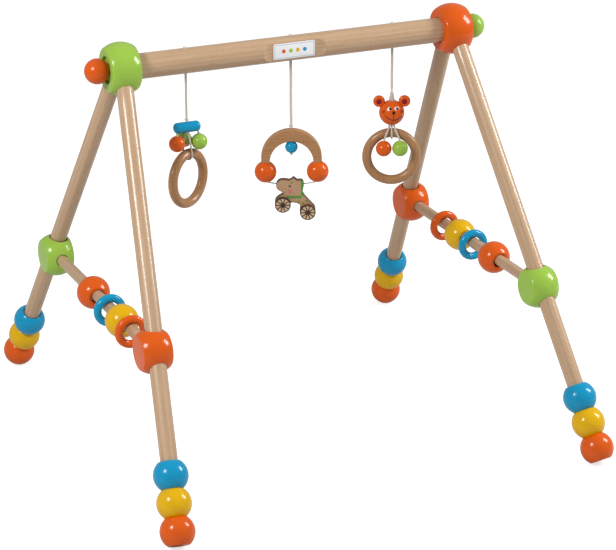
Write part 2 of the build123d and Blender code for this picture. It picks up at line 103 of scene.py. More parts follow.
def degrees(name, description, value):
    """An angle that the panel can change, given in degrees."""
    return FloatProperty(name=name, description=description, default=math.radians(value), unit="ROTATION")


def brightness(name, description, value, unit="NONE"):
    """A strength of light that the panel can change."""
    return FloatProperty(name=name, description=description, default=value, unit=unit)


class GymColours(bpy.types.PropertyGroup):
    """Colours of the woods, paints and cords"""

    beech_light: colour("Beech, light", "The pale wood between the growth lines", (0.60, 0.41, 0.255))
    beech_dark: colour("Beech, dark", "The growth lines of the wood", (0.455, 0.285, 0.165))
    warm_light: colour("Warm beech, light", "The pale wood of the rings and the arch", (0.46, 0.24, 0.105))
    warm_dark: colour("Warm beech, dark", "The growth lines of the rings and the arch", (0.34, 0.16, 0.065))
    orange: colour("Orange paint", "Colour of the orange pieces", (0.71, 0.100, 0.003))
    green: colour("Green paint", "Colour of the green pieces", (0.32, 0.535, 0.065))
    yellow: colour("Yellow paint", "Colour of the yellow pieces", (0.75, 0.43, 0.0))
    blue: colour("Blue paint", "Colour of the blue pieces", (0.002, 0.29, 0.53))
    cord: colour("Cord", "Colour of the cotton cords", (0.74, 0.67, 0.58))
    plate: colour("Plate", "Colour of the plate on the bar", (0.86, 0.87, 0.88))
    burnt: colour("Burnt line", "Burnt lines on the horse and its wheels", (0.085, 0.035, 0.016))
    dark_red: colour("Dark red", "Inside of the bear's ears", (0.27, 0.004, 0.012))
    black: colour("Black paint", "Eyes, nose and mouth", (0.008, 0.007, 0.007))
    pink: colour("Pink paint", "Cheeks", (0.62, 0.12, 0.20))
    leaf: colour("Leaf green", "Mane, collar and dots of the horse", (0.035, 0.26, 0.02))
    floor: colour("Floor", "Colour of the floor", (0.60, 0.60, 0.60))


class GymShapes(bpy.types.PropertyGroup):
    """Slopes, turns and sizes that the frame's boxes don't give"""

    leg_spread: degrees("Leg spread", "Fore and aft slope of a leg from upright", 32.27)
    leg_splay: degrees("Leg splay", "Sideways slope of a leg from upright", 6.73)
    leg_offset: length("Leg offset", "From the hub's centre forward or back to the leg's line", 7.7 * MM)
    toy_turn: degrees("Toy turn", "How the middle and right toys are turned on their cords", -23.0)
    left_ring_turn: degrees("Left ring turn", "How the left gripping ring is turned", 33.0)
    arch_leg_out: length("Arch leg", "From the arch's middle to the middle of its leg", 31.45 * MM)
    arch_drop: length("Arch drop", "From the bar's axis to the top of the arch", 99.9 * MM)
    arch_crown: length("Arch crown", "Height of the wood at the middle of the arch", 15.3 * MM)
    ear_out: length("Ear place", "From the middle of the bear's head to the middle of an ear", 15.5 * MM)
    ear_radius: length("Ear radius", "Radius of the bear's ear", 7.2 * MM)
    twist: length("Cord twist", "Length of one turn of a cord's strands", 5.5 * MM)
    strands: IntProperty(name="Strands", description="Strands in a cord", default=3, min=2, max=6)
    segments: IntProperty(name="Lathe steps", description="Sides of a turned piece", default=112, min=24)


class GymLight(bpy.types.PropertyGroup):
    """Strengths of the lights"""

    left_power: brightness("Left light", "Power of the left light", 29.0, "POWER")
    right_power: brightness("Right light", "Power of the right light", 38.0, "POWER")
    fill: brightness("Fill", "Strength of the even light all round", 0.42)
    floor_glow: brightness("Floor glow", "How much the seen floor is lifted", 0.70)


def colours():
    """The colour settings."""
    return bpy.context.scene.gym_colours


def shapes():
    """The shape settings."""
    return bpy.context.scene.gym_shapes


# ---- Places ----
def size_of(node):
    """The width, depth and height of a part's box, in millimetres."""
    low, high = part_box(node)
    return (high - low) / MM


def centre_of(node):
    """The middle of a part's box."""
    low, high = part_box(node)
    return (low + high) / 2


def hub_centre(side):
    """The middle of a hub, on the bar's axis."""
    return Vector((centre_of(f"{side}_hub").x, 0, centre_of("top_bar").z))


def down_leg(side, row):
    """Unit vector down a leg."""
    fore = math.tan(shapes().leg_spread)
    out = math.tan(shapes().leg_splay)
    return Vector((SIDES[side] * out, ROWS[row] * fore, -1)).normalized()


def on_leg(side, row, height):
    """The point on a leg's line at a height."""
    start = hub_centre(side) + Vector((0, ROWS[row] * shapes().leg_offset, 0))
    down = down_leg(side, row)
    return start + down * ((height - start.z) / down.z)


def block_centre(side, row):
    """The middle of a joint block, level with its crossbar."""
    bar = centre_of(f"{side}_crossbar")
    return Vector((bar.x, centre_of(f"{side}_{row}_block").y, bar.z))


def aim(direction, place=(0, 0, 0), toward="Z"):
    """A frame at a place with one of its axes along a direction."""
    turn = Vector(direction).to_track_quat(toward, "Y" if toward != "Y" else "Z")
    return Matrix.Translation(Vector(place)) @ turn.to_matrix().to_4x4()


def toy_frame(place, turn=0.0):
    """A toy's upright frame, turned about its cord."""
    return Matrix.Translation(Vector(place)) @ Matrix.Rotation(turn, 4, "Z")


def horse_frame():
    """The horse's upright frame, level with the low part of its sling."""
    return toy_frame((0, 0, centre_of("top_bar").z - SLING_DROP * MM), shapes().toy_turn)


def quarter_turn(axis):
    """A turn of 90 degrees about an axis."""
    return Matrix.Rotation(math.radians(90), 4, axis)


# ---- Mesh making. Profiles are in millimetres, meshes in metres. ----
def lathe(profile, closed=False, segments=None):
    """A mesh turned about Z from (radius, height) points, up its outside."""
    segments = segments or shapes().segments
    turns = [2 * math.pi * i / segments for i in range(segments)]
    bm = bmesh.new()
    rows = []
    for radius, height in profile:
        if radius < ON_AXIS:
            rows.append([bm.verts.new((0, 0, height * MM))])
            continue
        reach = radius * MM
        places = [(reach * math.cos(t), reach * math.sin(t), height * MM) for t in turns]
        rows.append([bm.verts.new(place) for place in places])
    pairs = list(zip(rows, rows[1:]))
    if closed:
        pairs.append((rows[-1], rows[0]))
    for low, high in pairs:
        for i in range(segments):
            j = (i + 1) % segments
            ring = [low[i % len(low)], low[j % len(low)], high[j % len(high)], high[i % len(high)]]
            corners = list(dict.fromkeys(ring))
            if len(corners) > 2:
                bm.faces.new(corners)
    mesh = bpy.data.meshes.new("turned")
    bm.to_mesh(mesh)
    bm.free()
    return mesh


def arc(centre, radius, start, end, steps):
    """Points of an arc, angles in degrees from the outward direction towards the top."""
    turns = [math.radians(start + (end - start) * i / steps) for i in range(steps + 1)]
    return [(centre[0] + radius * math.cos(t), centre[1] + radius * math.sin(t)) for t in turns]


def mirrored(points):
    """The same profile points, in the same order, on the other side of the middle."""
    return [(r, -z) for r, z in points]


def rod_profile(radius, half, ease, rows):
    """A rod's outside in equal rows, its ends eased by (inward, down) steps from the corner."""
    end = [(0, half)] + [(radius - inward, half - down) for inward, down in ease]
    straight = half - ease[-1][1]
    side = [(radius, straight * (2 * i / rows - 1)) for i in range(1, rows)]
    return mirrored(end) + side + end[::-1]


def faced_side(radius, half, rounding, steps=30):
    """The outside of a ball with two faced ends, from the rim of one face to the other's."""
    middle = (math.sqrt((radius - rounding) ** 2 - (half - rounding) ** 2), half - rounding)
    tilt = math.degrees(math.atan2(middle[1], middle[0]))
    upper = arc((0, 0), radius, 0, tilt, steps) + arc(middle, rounding, tilt, 90, 7)[1:]
    return mirrored(upper[::-1]) + upper[1:]


def bored_ball(radius, half, rounding, bore, ease):
    """A faced ball with a through bore whose rims are eased."""
    inside = [(bore + ease, half), (bore + ease * 0.3, half - ease * 0.3), (bore, half - ease)]
    return faced_side(radius, half, rounding) + inside + mirrored(inside[::-1])


def drilled_ball(radius, hole, depth=0.9, bottom_hole=0.0):
    """A ball with a small cord hole sunk in its top, and in its bottom if asked."""
    ease_out, ease_down, taper = 0.25, 0.3, 0.9

    def end(size):
        """The points of a hole, from its rim to its bottom."""
        if size <= 0:
            return [(0, radius)]
        rim = math.degrees(math.acos((size + ease_out) / radius))
        top = arc((0, 0), radius, 0, rim, 30)[-1]
        return [top, (size, top[1] - ease_down), (size * taper, top[1] - depth), (0, top[1] - depth)]

    top, bottom = end(hole), end(bottom_hole)
    high = math.degrees(math.atan2(top[0][1], top[0][0]))
    low = math.degrees(math.atan2(bottom[0][1], bottom[0][0]))
    side = arc((0, 0), radius, -low, high, 44)
    return mirrored(bottom[:0:-1]) + side + top[1:]


def thicken(bm, ring, height):
    """Makes a solid of a flat outline, and returns its upper points."""
    face = bm.faces.new(ring)
    grown = bmesh.ops.extrude_face_region(bm, geom=[face])["geom"]
    moved = [v for v in grown if isinstance(v, bmesh.types.BMVert)]
    bmesh.ops.translate(bm, verts=moved, vec=(0, 0, height))
    return moved


def joined(meshes, places):
    """One mesh of several, each at its place, that remembers where each point was before."""
    bm = bmesh.new()
    for mesh, place in zip(meshes, places):
        copy = mesh.copy()
        if GRAIN not in copy.attributes:
            remember_grain(copy)
        copy.transform(place)
        bm.from_mesh(copy)
        bpy.data.meshes.remove(copy)
    result = bpy.data.meshes.new("joined")
    bm.to_mesh(result)
    bm.free()
    return result


def remember_grain(mesh):
    """Keeps each point's place in the piece's own frame, for the wood and the paint."""
    layer = mesh.attributes.new(GRAIN, "FLOAT_VECTOR", "POINT")
    for point, value in zip(mesh.vertices, layer.data):
        value.vector = point.co


def carve(mesh, cutters):
    """The mesh with each cutter taken out of it."""
    work = bpy.data.objects.new("work", mesh)
    bpy.context.collection.objects.link(work)
    tools = []
    for cutter, place in cutters:
        cutter = cutter.copy()
        cutter.transform(place)
        tool = bpy.data.objects.new("tool", cutter)
        bpy.context.collection.objects.link(tool)
        tools.append(tool)
        cut = work.modifiers.new("cut", "BOOLEAN")
        cut.operation = "DIFFERENCE"
        cut.solver = "EXACT"
        cut.object = tool
    result = evaluated_mesh(work)
    for item in tools + [work]:
        bpy.data.objects.remove(item)
    return result


def evaluated_mesh(item):
    """A plain mesh of an object with its modifiers worked in."""
    graph = bpy.context.evaluated_depsgraph_get()
    graph.update()
    return bpy.data.meshes.new_from_object(item.evaluated_get(graph), depsgraph=graph)


def cad_copy(node):
    """A merged copy of a part's own mesh."""
    bm = bmesh.new()
    bm.from_mesh(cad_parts[node].data)
    bmesh.ops.remove_doubles(bm, verts=bm.verts, dist=1e-6)
    mesh = bpy.data.meshes.new(node)
    bm.to_mesh(mesh)
    bm.free()
    mesh.materials.clear()
    return mesh


def piece(name, mesh, material, body, nodes, place=None, sharp=32.0):
    """Makes a finished object of a mesh: smooth, coloured, riding on its body, standing for its nodes."""
    if GRAIN not in mesh.attributes:
        remember_grain(mesh)
    if place is not None:
        mesh.transform(place)
    mesh.shade_smooth()
    mesh.set_sharp_from_angle(angle=math.radians(sharp))
    mesh.materials.clear()
    mesh.materials.append(material)
    item = bpy.data.objects.new(name, mesh)
    bpy.context.collection.objects.link(item)
    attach(item, body)
    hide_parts(*nodes)
    return item


def painted_piece(name, mesh, tone, body, node, place=None, sharp=32.0):
    """A finished object in one of the four paints, standing for one node."""
    return piece(name, mesh, paint(tone), body, [node], place, sharp)


# ---- Geometry node trees ----
class Graph:
    """Adds and links the nodes of one tree."""

    def __init__(self, tree):
        self.tree = tree

    def add(self, kind, inputs=None, **settings):
        """A new node, its inputs linked to sockets or set to values."""
        node = self.tree.nodes.new(kind)
        for key, value in settings.items():
            setattr(node, key, value)
        for key, value in (inputs or {}).items():
            if isinstance(value, bpy.types.NodeSocket):
                self.tree.links.new(value, node.inputs[key])
            else:
                node.inputs[key].default_value = value
        return node

    def math(self, operation, a, b=0.0, c=0.0):
        """The result of a sum on numbers."""
        return self.add("ShaderNodeMath", {0: a, 1: b, 2: c}, operation=operation).outputs[0]

    def vector(self, operation, a, b=(0, 0, 0)):
        """The result of a sum on vectors."""
        return self.add("ShaderNodeVectorMath", {0: a, 1: b}, operation=operation).outputs["Vector"]

    def dot(self, a, b):
        """How far a vector reaches along another."""
        return self.add("ShaderNodeVectorMath", {0: a, 1: b}, operation="DOT_PRODUCT").outputs["Value"]

    def spread(self, value, low, high):
        """0 at the low value, 1 at the high one, and even between them."""
        inputs = {"Value": value, "From Min": low, "From Max": high, "To Min": 0.0, "To Max": 1.0}
        return self.add("ShaderNodeMapRange", inputs, clamp=True).outputs["Result"]

    def mix(self, factor, a, b):
        """A colour between two colours."""
        node = self.add("ShaderNodeMix", {0: factor}, data_type="RGBA")
        for key, value in ((6, a), (7, b)):
            if isinstance(value, bpy.types.NodeSocket):
                self.tree.links.new(value, node.inputs[key])
            else:
                node.inputs[key].default_value = (*value, 1)[:4]
        return node.outputs[2]

    def noise(self, vector, scale, detail=2.0, roughness=0.5):
        """Soft random patches."""
        inputs = {"Vector": vector, "Scale": scale, "Detail": detail, "Roughness": roughness}
        return self.add("ShaderNodeTexNoise", inputs).outputs["Fac"]

    def join(self, socket, node, name):
        """Links a socket to a node's input."""
        self.tree.links.new(socket, node.inputs[name])


def new_group(name, kind, inputs, outputs):
    """An empty node group with named sockets, as (graph, input sockets, output node)."""
    tree = bpy.data.node_groups.new(name, kind)
    for label, socket_type, default in inputs:
        socket = tree.interface.new_socket(name=label, in_out="INPUT", socket_type=socket_type)
        if default is not None:
            socket.default_value = default
    for label, socket_type in outputs:
        tree.interface.new_socket(name=label, in_out="OUTPUT", socket_type=socket_type)
    return Graph(tree), tree.nodes.new("NodeGroupInput").outputs, tree.nodes.new("NodeGroupOutput")


def twisted_cord_tree():
    """Lays strands side by side round a route and twists them."""
    name = "Twisted cord"
    if name in bpy.data.node_groups:
        return bpy.data.node_groups[name]
    graph, given, result = new_group(
        name,
        "GeometryNodeTree",
        [
            ("Route", "NodeSocketGeometry", None),
            ("Strands", "NodeSocketInt", 3),
            ("Cord Diameter", "NodeSocketFloat", 0.003),
            ("Twist Length", "NodeSocketFloat", 0.0055),
            ("Step", "NodeSocketFloat", 0.0005),
            ("Sides", "NodeSocketInt", 8),
            ("Material", "NodeSocketMaterial", None),
        ],
        [("Geometry", "NodeSocketGeometry")],
    )
    fine = graph.add(
        "GeometryNodeResampleCurve", {"Curve": given["Route"], "Length": given["Step"]}, mode="LENGTH"
    )
    copies = graph.add(
        "GeometryNodeDuplicateElements",
        {"Geometry": fine.outputs["Curve"], "Amount": given["Strands"]},
        domain="SPLINE",
    )
    run = graph.add("GeometryNodeSplineParameter").outputs["Length"]
    share = graph.math("DIVIDE", copies.outputs["Duplicate Index"], given["Strands"])
    turns = graph.math("ADD", graph.math("DIVIDE", run, given["Twist Length"]), share)
    angle = graph.math("MULTIPLY", turns, 2 * math.pi)
    normal = graph.add("GeometryNodeInputNormal").outputs["Normal"]
    tangent = graph.add("GeometryNodeInputTangent").outputs["Tangent"]
    across = graph.vector("CROSS_PRODUCT", tangent, normal)
    reach = graph.math("MULTIPLY", given["Cord Diameter"], STRAND_REACH)

    def scaled(vector, size):
        """A vector times a number."""
        node = graph.add("ShaderNodeVectorMath", {0: vector, "Scale": size}, operation="SCALE")
        return node.outputs["Vector"]

    out_along = scaled(normal, graph.math("MULTIPLY", graph.math("COSINE", angle), reach))
    out_across = scaled(across, graph.math("MULTIPLY", graph.math("SINE", angle), reach))
    marked = graph.add(
        "GeometryNodeStoreNamedAttribute",
        {"Geometry": copies.outputs["Geometry"], "Name": RUN, "Value": run},
        data_type="FLOAT",
        domain="POINT",
    )
    moved = graph.add(
        "GeometryNodeSetPosition",
        {"Geometry": marked.outputs["Geometry"], "Offset": graph.vector("ADD", out_along, out_across)},
    )
    thick = graph.math("MULTIPLY", given["Cord Diameter"], STRAND_RADIUS)
    section = graph.add("GeometryNodeCurvePrimitiveCircle", {"Resolution": given["Sides"], "Radius": thick})
    solid = graph.add(
        "GeometryNodeCurveToMesh",
        {
            "Curve": moved.outputs["Geometry"],
            "Profile Curve": section.outputs["Curve"],
            "Fill Caps": True,
        },
    )
    whole = graph.add("GeometryNodeRealizeInstances", {"Geometry": solid.outputs["Mesh"]})
    painted = graph.add(
        "GeometryNodeSetMaterial",
        {"Geometry": whole.outputs["Geometry"], "Material": given["Material"]},
    )
    graph.join(painted.outputs["Geometry"], result, "Geometry")
    return graph.tree


def paired_tree():
    """Puts a copy of a piece at each of two places, turned its own way at each."""
    name = "Pair of copies"
    if name in bpy.data.node_groups:
        return bpy.data.node_groups[name]
    graph, given, result = new_group(
        name,
        "GeometryNodeTree",
        [
            ("Piece", "NodeSocketGeometry", None),
            ("First Place", "NodeSocketVector", (0, 0, 0)),
            ("Second Place", "NodeSocketVector", (0, 0, 0)),
            ("First Turn", "NodeSocketVector", (0, 0, 0)),
            ("Second Turn", "NodeSocketVector", (0, 0, 0)),
            ("Material", "NodeSocketMaterial", None),
        ],
        [("Geometry", "NodeSocketGeometry")],
    )
    step = graph.vector("SUBTRACT", given["Second Place"], given["First Place"])
    points = graph.add(
        "GeometryNodeMeshLine",
        {"Count": 2, "Start Location": given["First Place"], "Offset": step},
        mode="OFFSET",
    )
    index = graph.add("GeometryNodeInputIndex").outputs["Index"]
    swap = graph.add(
        "ShaderNodeMix",
        {0: index, 4: given["First Turn"], 5: given["Second Turn"]},
        data_type="VECTOR",
    )
    copies = graph.add(
        "GeometryNodeInstanceOnPoints",
        {"Points": points.outputs["Mesh"], "Instance": given["Piece"], "Rotation": swap.outputs[1]},
    )
    whole = graph.add("GeometryNodeRealizeInstances", {"Geometry": copies.outputs["Instances"]})
    painted = graph.add(
        "GeometryNodeSetMaterial",
        {"Geometry": whole.outputs["Geometry"], "Material": given["Material"]},
    )
    graph.join(painted.outputs["Geometry"], result, "Geometry")
    return graph.tree


def run_tree(data, tree, values):
    """The plain mesh that a node tree makes of a mesh or a curve."""
    item = bpy.data.objects.new("work", data)
    bpy.context.collection.objects.link(item)
    nodes = item.modifiers.new("nodes", "NODES")
    nodes.node_group = tree
    for socket in tree.interface.items_tree:
        if socket.item_type == "SOCKET" and socket.in_out == "INPUT" and socket.name in values:
            nodes[socket.identifier] = values[socket.name]
    mesh = evaluated_mesh(item)
    item.modifiers.remove(nodes)
    bpy.data.objects.remove(item)
    return mesh


def pair_of(mesh, places, material):
    """Two copies of a mesh, at two frames, as one mesh."""
    remember_grain(mesh)
    turns = [place.to_euler() for place in places]
    values = {
        "First Place": places[0].translation,
        "Second Place": places[1].translation,
        "First Turn": Vector(turns[0]),
        "Second Turn": Vector(turns[1]),
        "Material": material,
    }
    return run_tree(mesh, paired_tree(), values)


def route_curve(routes):
    """A curve of smooth splines through lists of points in metres."""
    curve = bpy.data.curves.new("route", "CURVE")
    curve.dimensions = "3D"
    curve.resolution_u = 12
    for points in routes:
        spline = curve.splines.new("NURBS")
        spline.points.add(len(points) - 1)
        for control, point in zip(spline.points, points):
            control.co = (*point, 1)
        spline.order_u = 3
        spline.use_endpoint_u = True
    return curve


def cord_mesh(routes, diameter, twist=None, sides=8):
    """Twisted strands along the routes, and the points of the first route."""
    curve = route_curve(routes)
    item = bpy.data.objects.new("work", curve)
    bpy.context.collection.objects.link(item)
    line = evaluated_mesh(item)
    path = [tuple(v.co) for v in line.vertices]
    bpy.data.objects.remove(item)
    values = {
        "Strands": shapes().strands,
        "Cord Diameter": diameter * MM,
        "Twist Length": twist or shapes().twist,
        "Step": 0.45 * MM,
        "Sides": sides,
        "Material": cord_material(),
    }
    return run_tree(curve, twisted_cord_tree(), values), path


def knot_route(centre, width, thickness, upright=1.0):
    """A knot's route, a trefoil that fills a ball of a width in millimetres."""
    size = (width - thickness) / 6 * MM
    steps, overlap = 21, 2
    points = []
    for i in range(steps + overlap):
        t = 2 * math.pi * i / steps
        x = math.sin(t) + 2 * math.sin(2 * t)
        y = math.cos(t) - 2 * math.cos(2 * t)
        z = -1.6 * upright * math.sin(3 * t)
        points.append(Vector(centre) + size * Vector((x, y, z)))
    return points


# ---- Shader groups ----
def wood_group():
    """Growth lines, streaks and short dark flecks along Z of the given vector."""
    name = "Wood figure"
    if name in bpy.data.node_groups:
        return bpy.data.node_groups[name]
    graph, given, result = new_group(
        name,
        "ShaderNodeTree",
        [
            ("Vector", "NodeSocketVector", (0, 0, 0)),
            ("Light", "NodeSocketColor", (1, 1, 1, 1)),
            ("Dark", "NodeSocketColor", (0, 0, 0, 1)),
            ("Line Spacing", "NodeSocketFloat", 0.004),
            ("Fleck", "NodeSocketFloat", 0.5),
        ],
        [("Color", "NodeSocketColor"), ("Roughness", "NodeSocketFloat"), ("Height", "NodeSocketFloat")],
    )
    place = given["Vector"]
    moved = graph.vector("ADD", place, (0.021, 0.013, 0.0))
    slow = graph.vector("MULTIPLY", moved, (1, 1, 0.07))
    bend = graph.noise(slow, 28.0, 1.0)
    rings = graph.add(
        "ShaderNodeTexWave",
        {
            "Vector": slow,
            "Scale": graph.math("DIVIDE", 0.314, given["Line Spacing"]),
            "Distortion": 5.0,
            "Detail": 2.0,
            "Detail Scale": 0.8,
        },
        wave_type="RINGS",
        rings_direction="Z",
    ).outputs["Fac"]
    streaks = graph.noise(graph.vector("MULTIPLY", place, (1, 1, 0.05)), 420.0, 4.0, 0.62)
    broad = graph.noise(graph.vector("MULTIPLY", place, (1, 1, 0.12)), 60.0, 2.0)
    fine = graph.noise(graph.vector("MULTIPLY", place, (1, 1, 0.16)), 1500.0, 1.0)
    flecks = graph.math("MULTIPLY", graph.spread(fine, 0.60, 0.70), given["Fleck"])
    tone = graph.math("MULTIPLY_ADD", rings, 0.22, graph.math("MULTIPLY", streaks, 0.54))
    tone = graph.math("ADD", tone, graph.math("MULTIPLY", broad, 0.45))
    tone = graph.math("ADD", tone, graph.math("MULTIPLY", bend, 0.12))
    tone = graph.spread(tone, 0.36, 0.98)
    shade = graph.mix(tone, given["Dark"], given["Light"])
    dark = graph.mix(0.45, shade, (0.16, 0.075, 0.035))
    graph.join(graph.mix(flecks, shade, dark), result, "Color")
    gloss = graph.math("MULTIPLY_ADD", streaks, 0.16, 0.26)
    graph.join(gloss, result, "Roughness")
    relief = graph.math("SUBTRACT", graph.math("MULTIPLY", streaks, 0.7), flecks)
    graph.join(relief, result, "Height")
    return graph.tree


def paint_group():
    """Glossy enamel over wood: faint grain under the coat, a soft ripple and slight wear."""
    name = "Enamel coat"
    if name in bpy.data.node_groups:
        return bpy.data.node_groups[name]
    graph, given, result = new_group(
        name,
        "ShaderNodeTree",
        [
            ("Vector", "NodeSocketVector", (0, 0, 0)),
            ("Color", "NodeSocketColor", (1, 1, 1, 1)),
            ("Unevenness", "NodeSocketFloat", 0.12),
        ],
        [("Color", "NodeSocketColor"), ("Roughness", "NodeSocketFloat"), ("Height", "NodeSocketFloat")],
    )
    place = given["Vector"]
    cloud = graph.noise(place, 55.0, 3.0)
    grain = graph.noise(graph.vector("MULTIPLY", place, (1, 1, 0.08)), 700.0, 3.0)
    ripple = graph.noise(place, 240.0, 1.0)
    specks = graph.spread(graph.noise(place, 1800.0, 1.0), 0.70, 0.76)
    dark = graph.add("ShaderNodeHueSaturation", {"Value": 0.80, "Color": given["Color"]}).outputs["Color"]
    factor = graph.math("MULTIPLY", graph.math("MULTIPLY_ADD", grain, 0.6, cloud), given["Unevenness"])
    tint = graph.mix(factor, given["Color"], dark)
    tint = graph.mix(graph.math("MULTIPLY", specks, 0.12), tint, dark)
    graph.join(tint, result, "Color")
    gloss = graph.math("MULTIPLY_ADD", cloud, 0.12, 0.17)
    graph.join(gloss, result, "Roughness")
    relief = graph.math("ADD", graph.math("MULTIPLY", ripple, 0.8), graph.math("MULTIPLY", grain, 0.25))
    graph.join(relief, result, "Height")
    return graph.tree


def spot_group():
    """A round painted spot: 1 inside, falling to 0 at its soft rim."""
    name = "Painted spot"
    if name in bpy.data.node_groups:
        return bpy.data.node_groups[name]
    graph, given, result = new_group(
        name,
        "ShaderNodeTree",
        [
            ("Vector", "NodeSocketVector", (0, 0, 0)),
            ("Centre", "NodeSocketVector", (0, 0, 0)),
            ("Radius", "NodeSocketFloat", 0.001),
            ("Softness", "NodeSocketFloat", 0.0002),
        ],
        [("Mask", "NodeSocketFloat")],
    )
    gap = graph.add("ShaderNodeVectorMath", {0: given["Vector"], 1: given["Centre"]}, operation="DISTANCE")
    edge = graph.math("ADD", given["Radius"], given["Softness"])
    mask = graph.spread(gap.outputs["Value"], edge, given["Radius"])
    graph.join(mask, result, "Mask")
    return graph.tree


# ---- Materials ----
def start_material(name):
    """A new material, with its graph and its shader."""
    material = bpy.data.materials.new(name)
    material.use_nodes = True
    graph = Graph(material.node_tree)
    return material, graph, material.node_tree.nodes["Principled BSDF"]


def group_node(graph, tree, inputs):
    """A shader group in a material."""
    return graph.add("ShaderNodeGroup", inputs, node_tree=tree)


def own_place(graph):
    """The piece's own coordinates."""
    return graph.add("ShaderNodeAttribute", attribute_name=GRAIN).outputs["Vector"]


def grain_vector(graph, turn=(0, 0, 0)):
    """The piece's own coordinates, turned so that Z runs along its grain."""
    return graph.add("ShaderNodeMapping", {"Vector": own_place(graph), "Rotation": turn}).outputs["Vector"]


def spot_mask(graph, place, centre, radius, softness):
    """A painted spot, its centre and sizes in millimetres: 1 inside, 0 outside."""
    inputs = {
        "Vector": place,
        "Centre": tuple(c * MM for c in centre),
        "Radius": radius * MM,
        "Softness": softness * MM,
    }
    return group_node(graph, spot_group(), inputs).outputs["Mask"]


def bump(graph, shader, height, strength, distance):
    """Fine relief on a surface."""
    node = graph.add("ShaderNodeBump", {"Height": height, "Strength": strength, "Distance": distance})
    graph.join(node.outputs["Normal"], shader, "Normal")


def four(value):
    """A colour with full alpha."""
    return (*value, 1.0)


def wood_material(name, turn=(0, 0, 0), spacing=0.004, fleck=0.5, lacquer=0.5, tone=1.0, kind="beech"):
    """Lacquered beech whose grain runs along one axis of the piece."""
    if name in bpy.data.materials:
        return bpy.data.materials[name]
    material, graph, shader = start_material(name)
    light = four([c * tone for c in getattr(colours(), f"{kind}_light")])
    dark = four([c * tone for c in getattr(colours(), f"{kind}_dark")])
    inputs = {
        "Vector": grain_vector(graph, turn),
        "Light": light,
        "Dark": dark,
        "Line Spacing": spacing,
        "Fleck": fleck,
    }
    wood = group_node(graph, wood_group(), inputs)
    graph.join(wood.outputs["Color"], shader, "Base Color")
    graph.join(wood.outputs["Roughness"], shader, "Roughness")
    bump(graph, shader, wood.outputs["Height"], 0.25, 0.00012)
    shader.inputs["Specular IOR Level"].default_value = 0.3
    shader.inputs["Coat Weight"].default_value = lacquer
    shader.inputs["Coat Roughness"].default_value = 0.16
    return material


def paint_material(name, tint):
    """Glossy coloured enamel."""
    if name in bpy.data.materials:
        return bpy.data.materials[name]
    material, graph, shader = start_material(name)
    coat = group_node(graph, paint_group(), {"Vector": grain_vector(graph), "Color": four(tint)})
    finish_paint(graph, shader, coat, coat.outputs["Color"])
    return material


def finish_paint(graph, shader, coat, tint):
    """Joins an enamel coat to its shader."""
    graph.join(tint, shader, "Base Color")
    graph.join(coat.outputs["Roughness"], shader, "Roughness")
    bump(graph, shader, coat.outputs["Height"], 0.18, 0.0001)
    shader.inputs["Specular IOR Level"].default_value = 0.12
    shader.inputs["Coat Weight"].default_value = 0.42
    shader.inputs["Coat Roughness"].default_value = 0.12


def paint(tone):
    """One of the four paints by name."""
    return paint_material(f"{tone} paint", getattr(colours(), tone))


def cord_material():
    """Soft cotton: pale fibres along each strand, with painted shade in the grooves between them."""
    name = "cotton cord"
    if name in bpy.data.materials:
        return bpy.data.materials[name]
    material, graph, shader = start_material(name)
    run = graph.add("ShaderNodeAttribute", attribute_name=RUN).outputs["Fac"]
    place = graph.add("ShaderNodeTexCoord").outputs["Object"]
    apart = graph.add("ShaderNodeSeparateXYZ", {0: place})
    along = graph.math("MULTIPLY", run, 0.25)
    drawn_out = {0: apart.outputs[0], 1: apart.outputs[1], 2: along}
    fibres = graph.noise(graph.add("ShaderNodeCombineXYZ", drawn_out).outputs[0], 2600.0, 3.0, 0.7)
    patches = graph.noise(place, 160.0, 2.0)
    pale = colours().cord
    dark = [c * 0.74 for c in pale]
    # Painted shade: the colour is darker where the fibre relief is low, in the grooves between fibres.
    tint = graph.mix(graph.spread(fibres, 0.35, 0.7), dark, pale)
    tint = graph.mix(graph.math("MULTIPLY", patches, 0.35), tint, dark)
    graph.join(tint, shader, "Base Color")
    rough = graph.math("MULTIPLY_ADD", fibres, 0.2, 0.72)
    graph.join(rough, shader, "Roughness")
    bump(graph, shader, fibres, 0.5, 0.0002)
    shader.inputs["Sheen Weight"].default_value = 0.3
    return material


def metal_material(name, tint, roughness):
    """Plain turned metal with fine lathe lines."""
    if name in bpy.data.materials:
        return bpy.data.materials[name]
    material, graph, shader = start_material(name)
    place = graph.add("ShaderNodeTexCoord").outputs["Object"]
    lines = graph.noise(graph.vector("MULTIPLY", place, (1, 0.02, 0.02)), 5200.0, 2.0)
    tone = graph.mix(lines, [c * 0.8 for c in tint], tint)
    graph.join(tone, shader, "Base Color")
    rough = graph.math("MULTIPLY_ADD", lines, 0.2, roughness)
    graph.join(rough, shader, "Roughness")
    bump(graph, shader, lines, 0.2, 0.0001)
    shader.inputs["Metallic"].default_value = 1.0
    return material


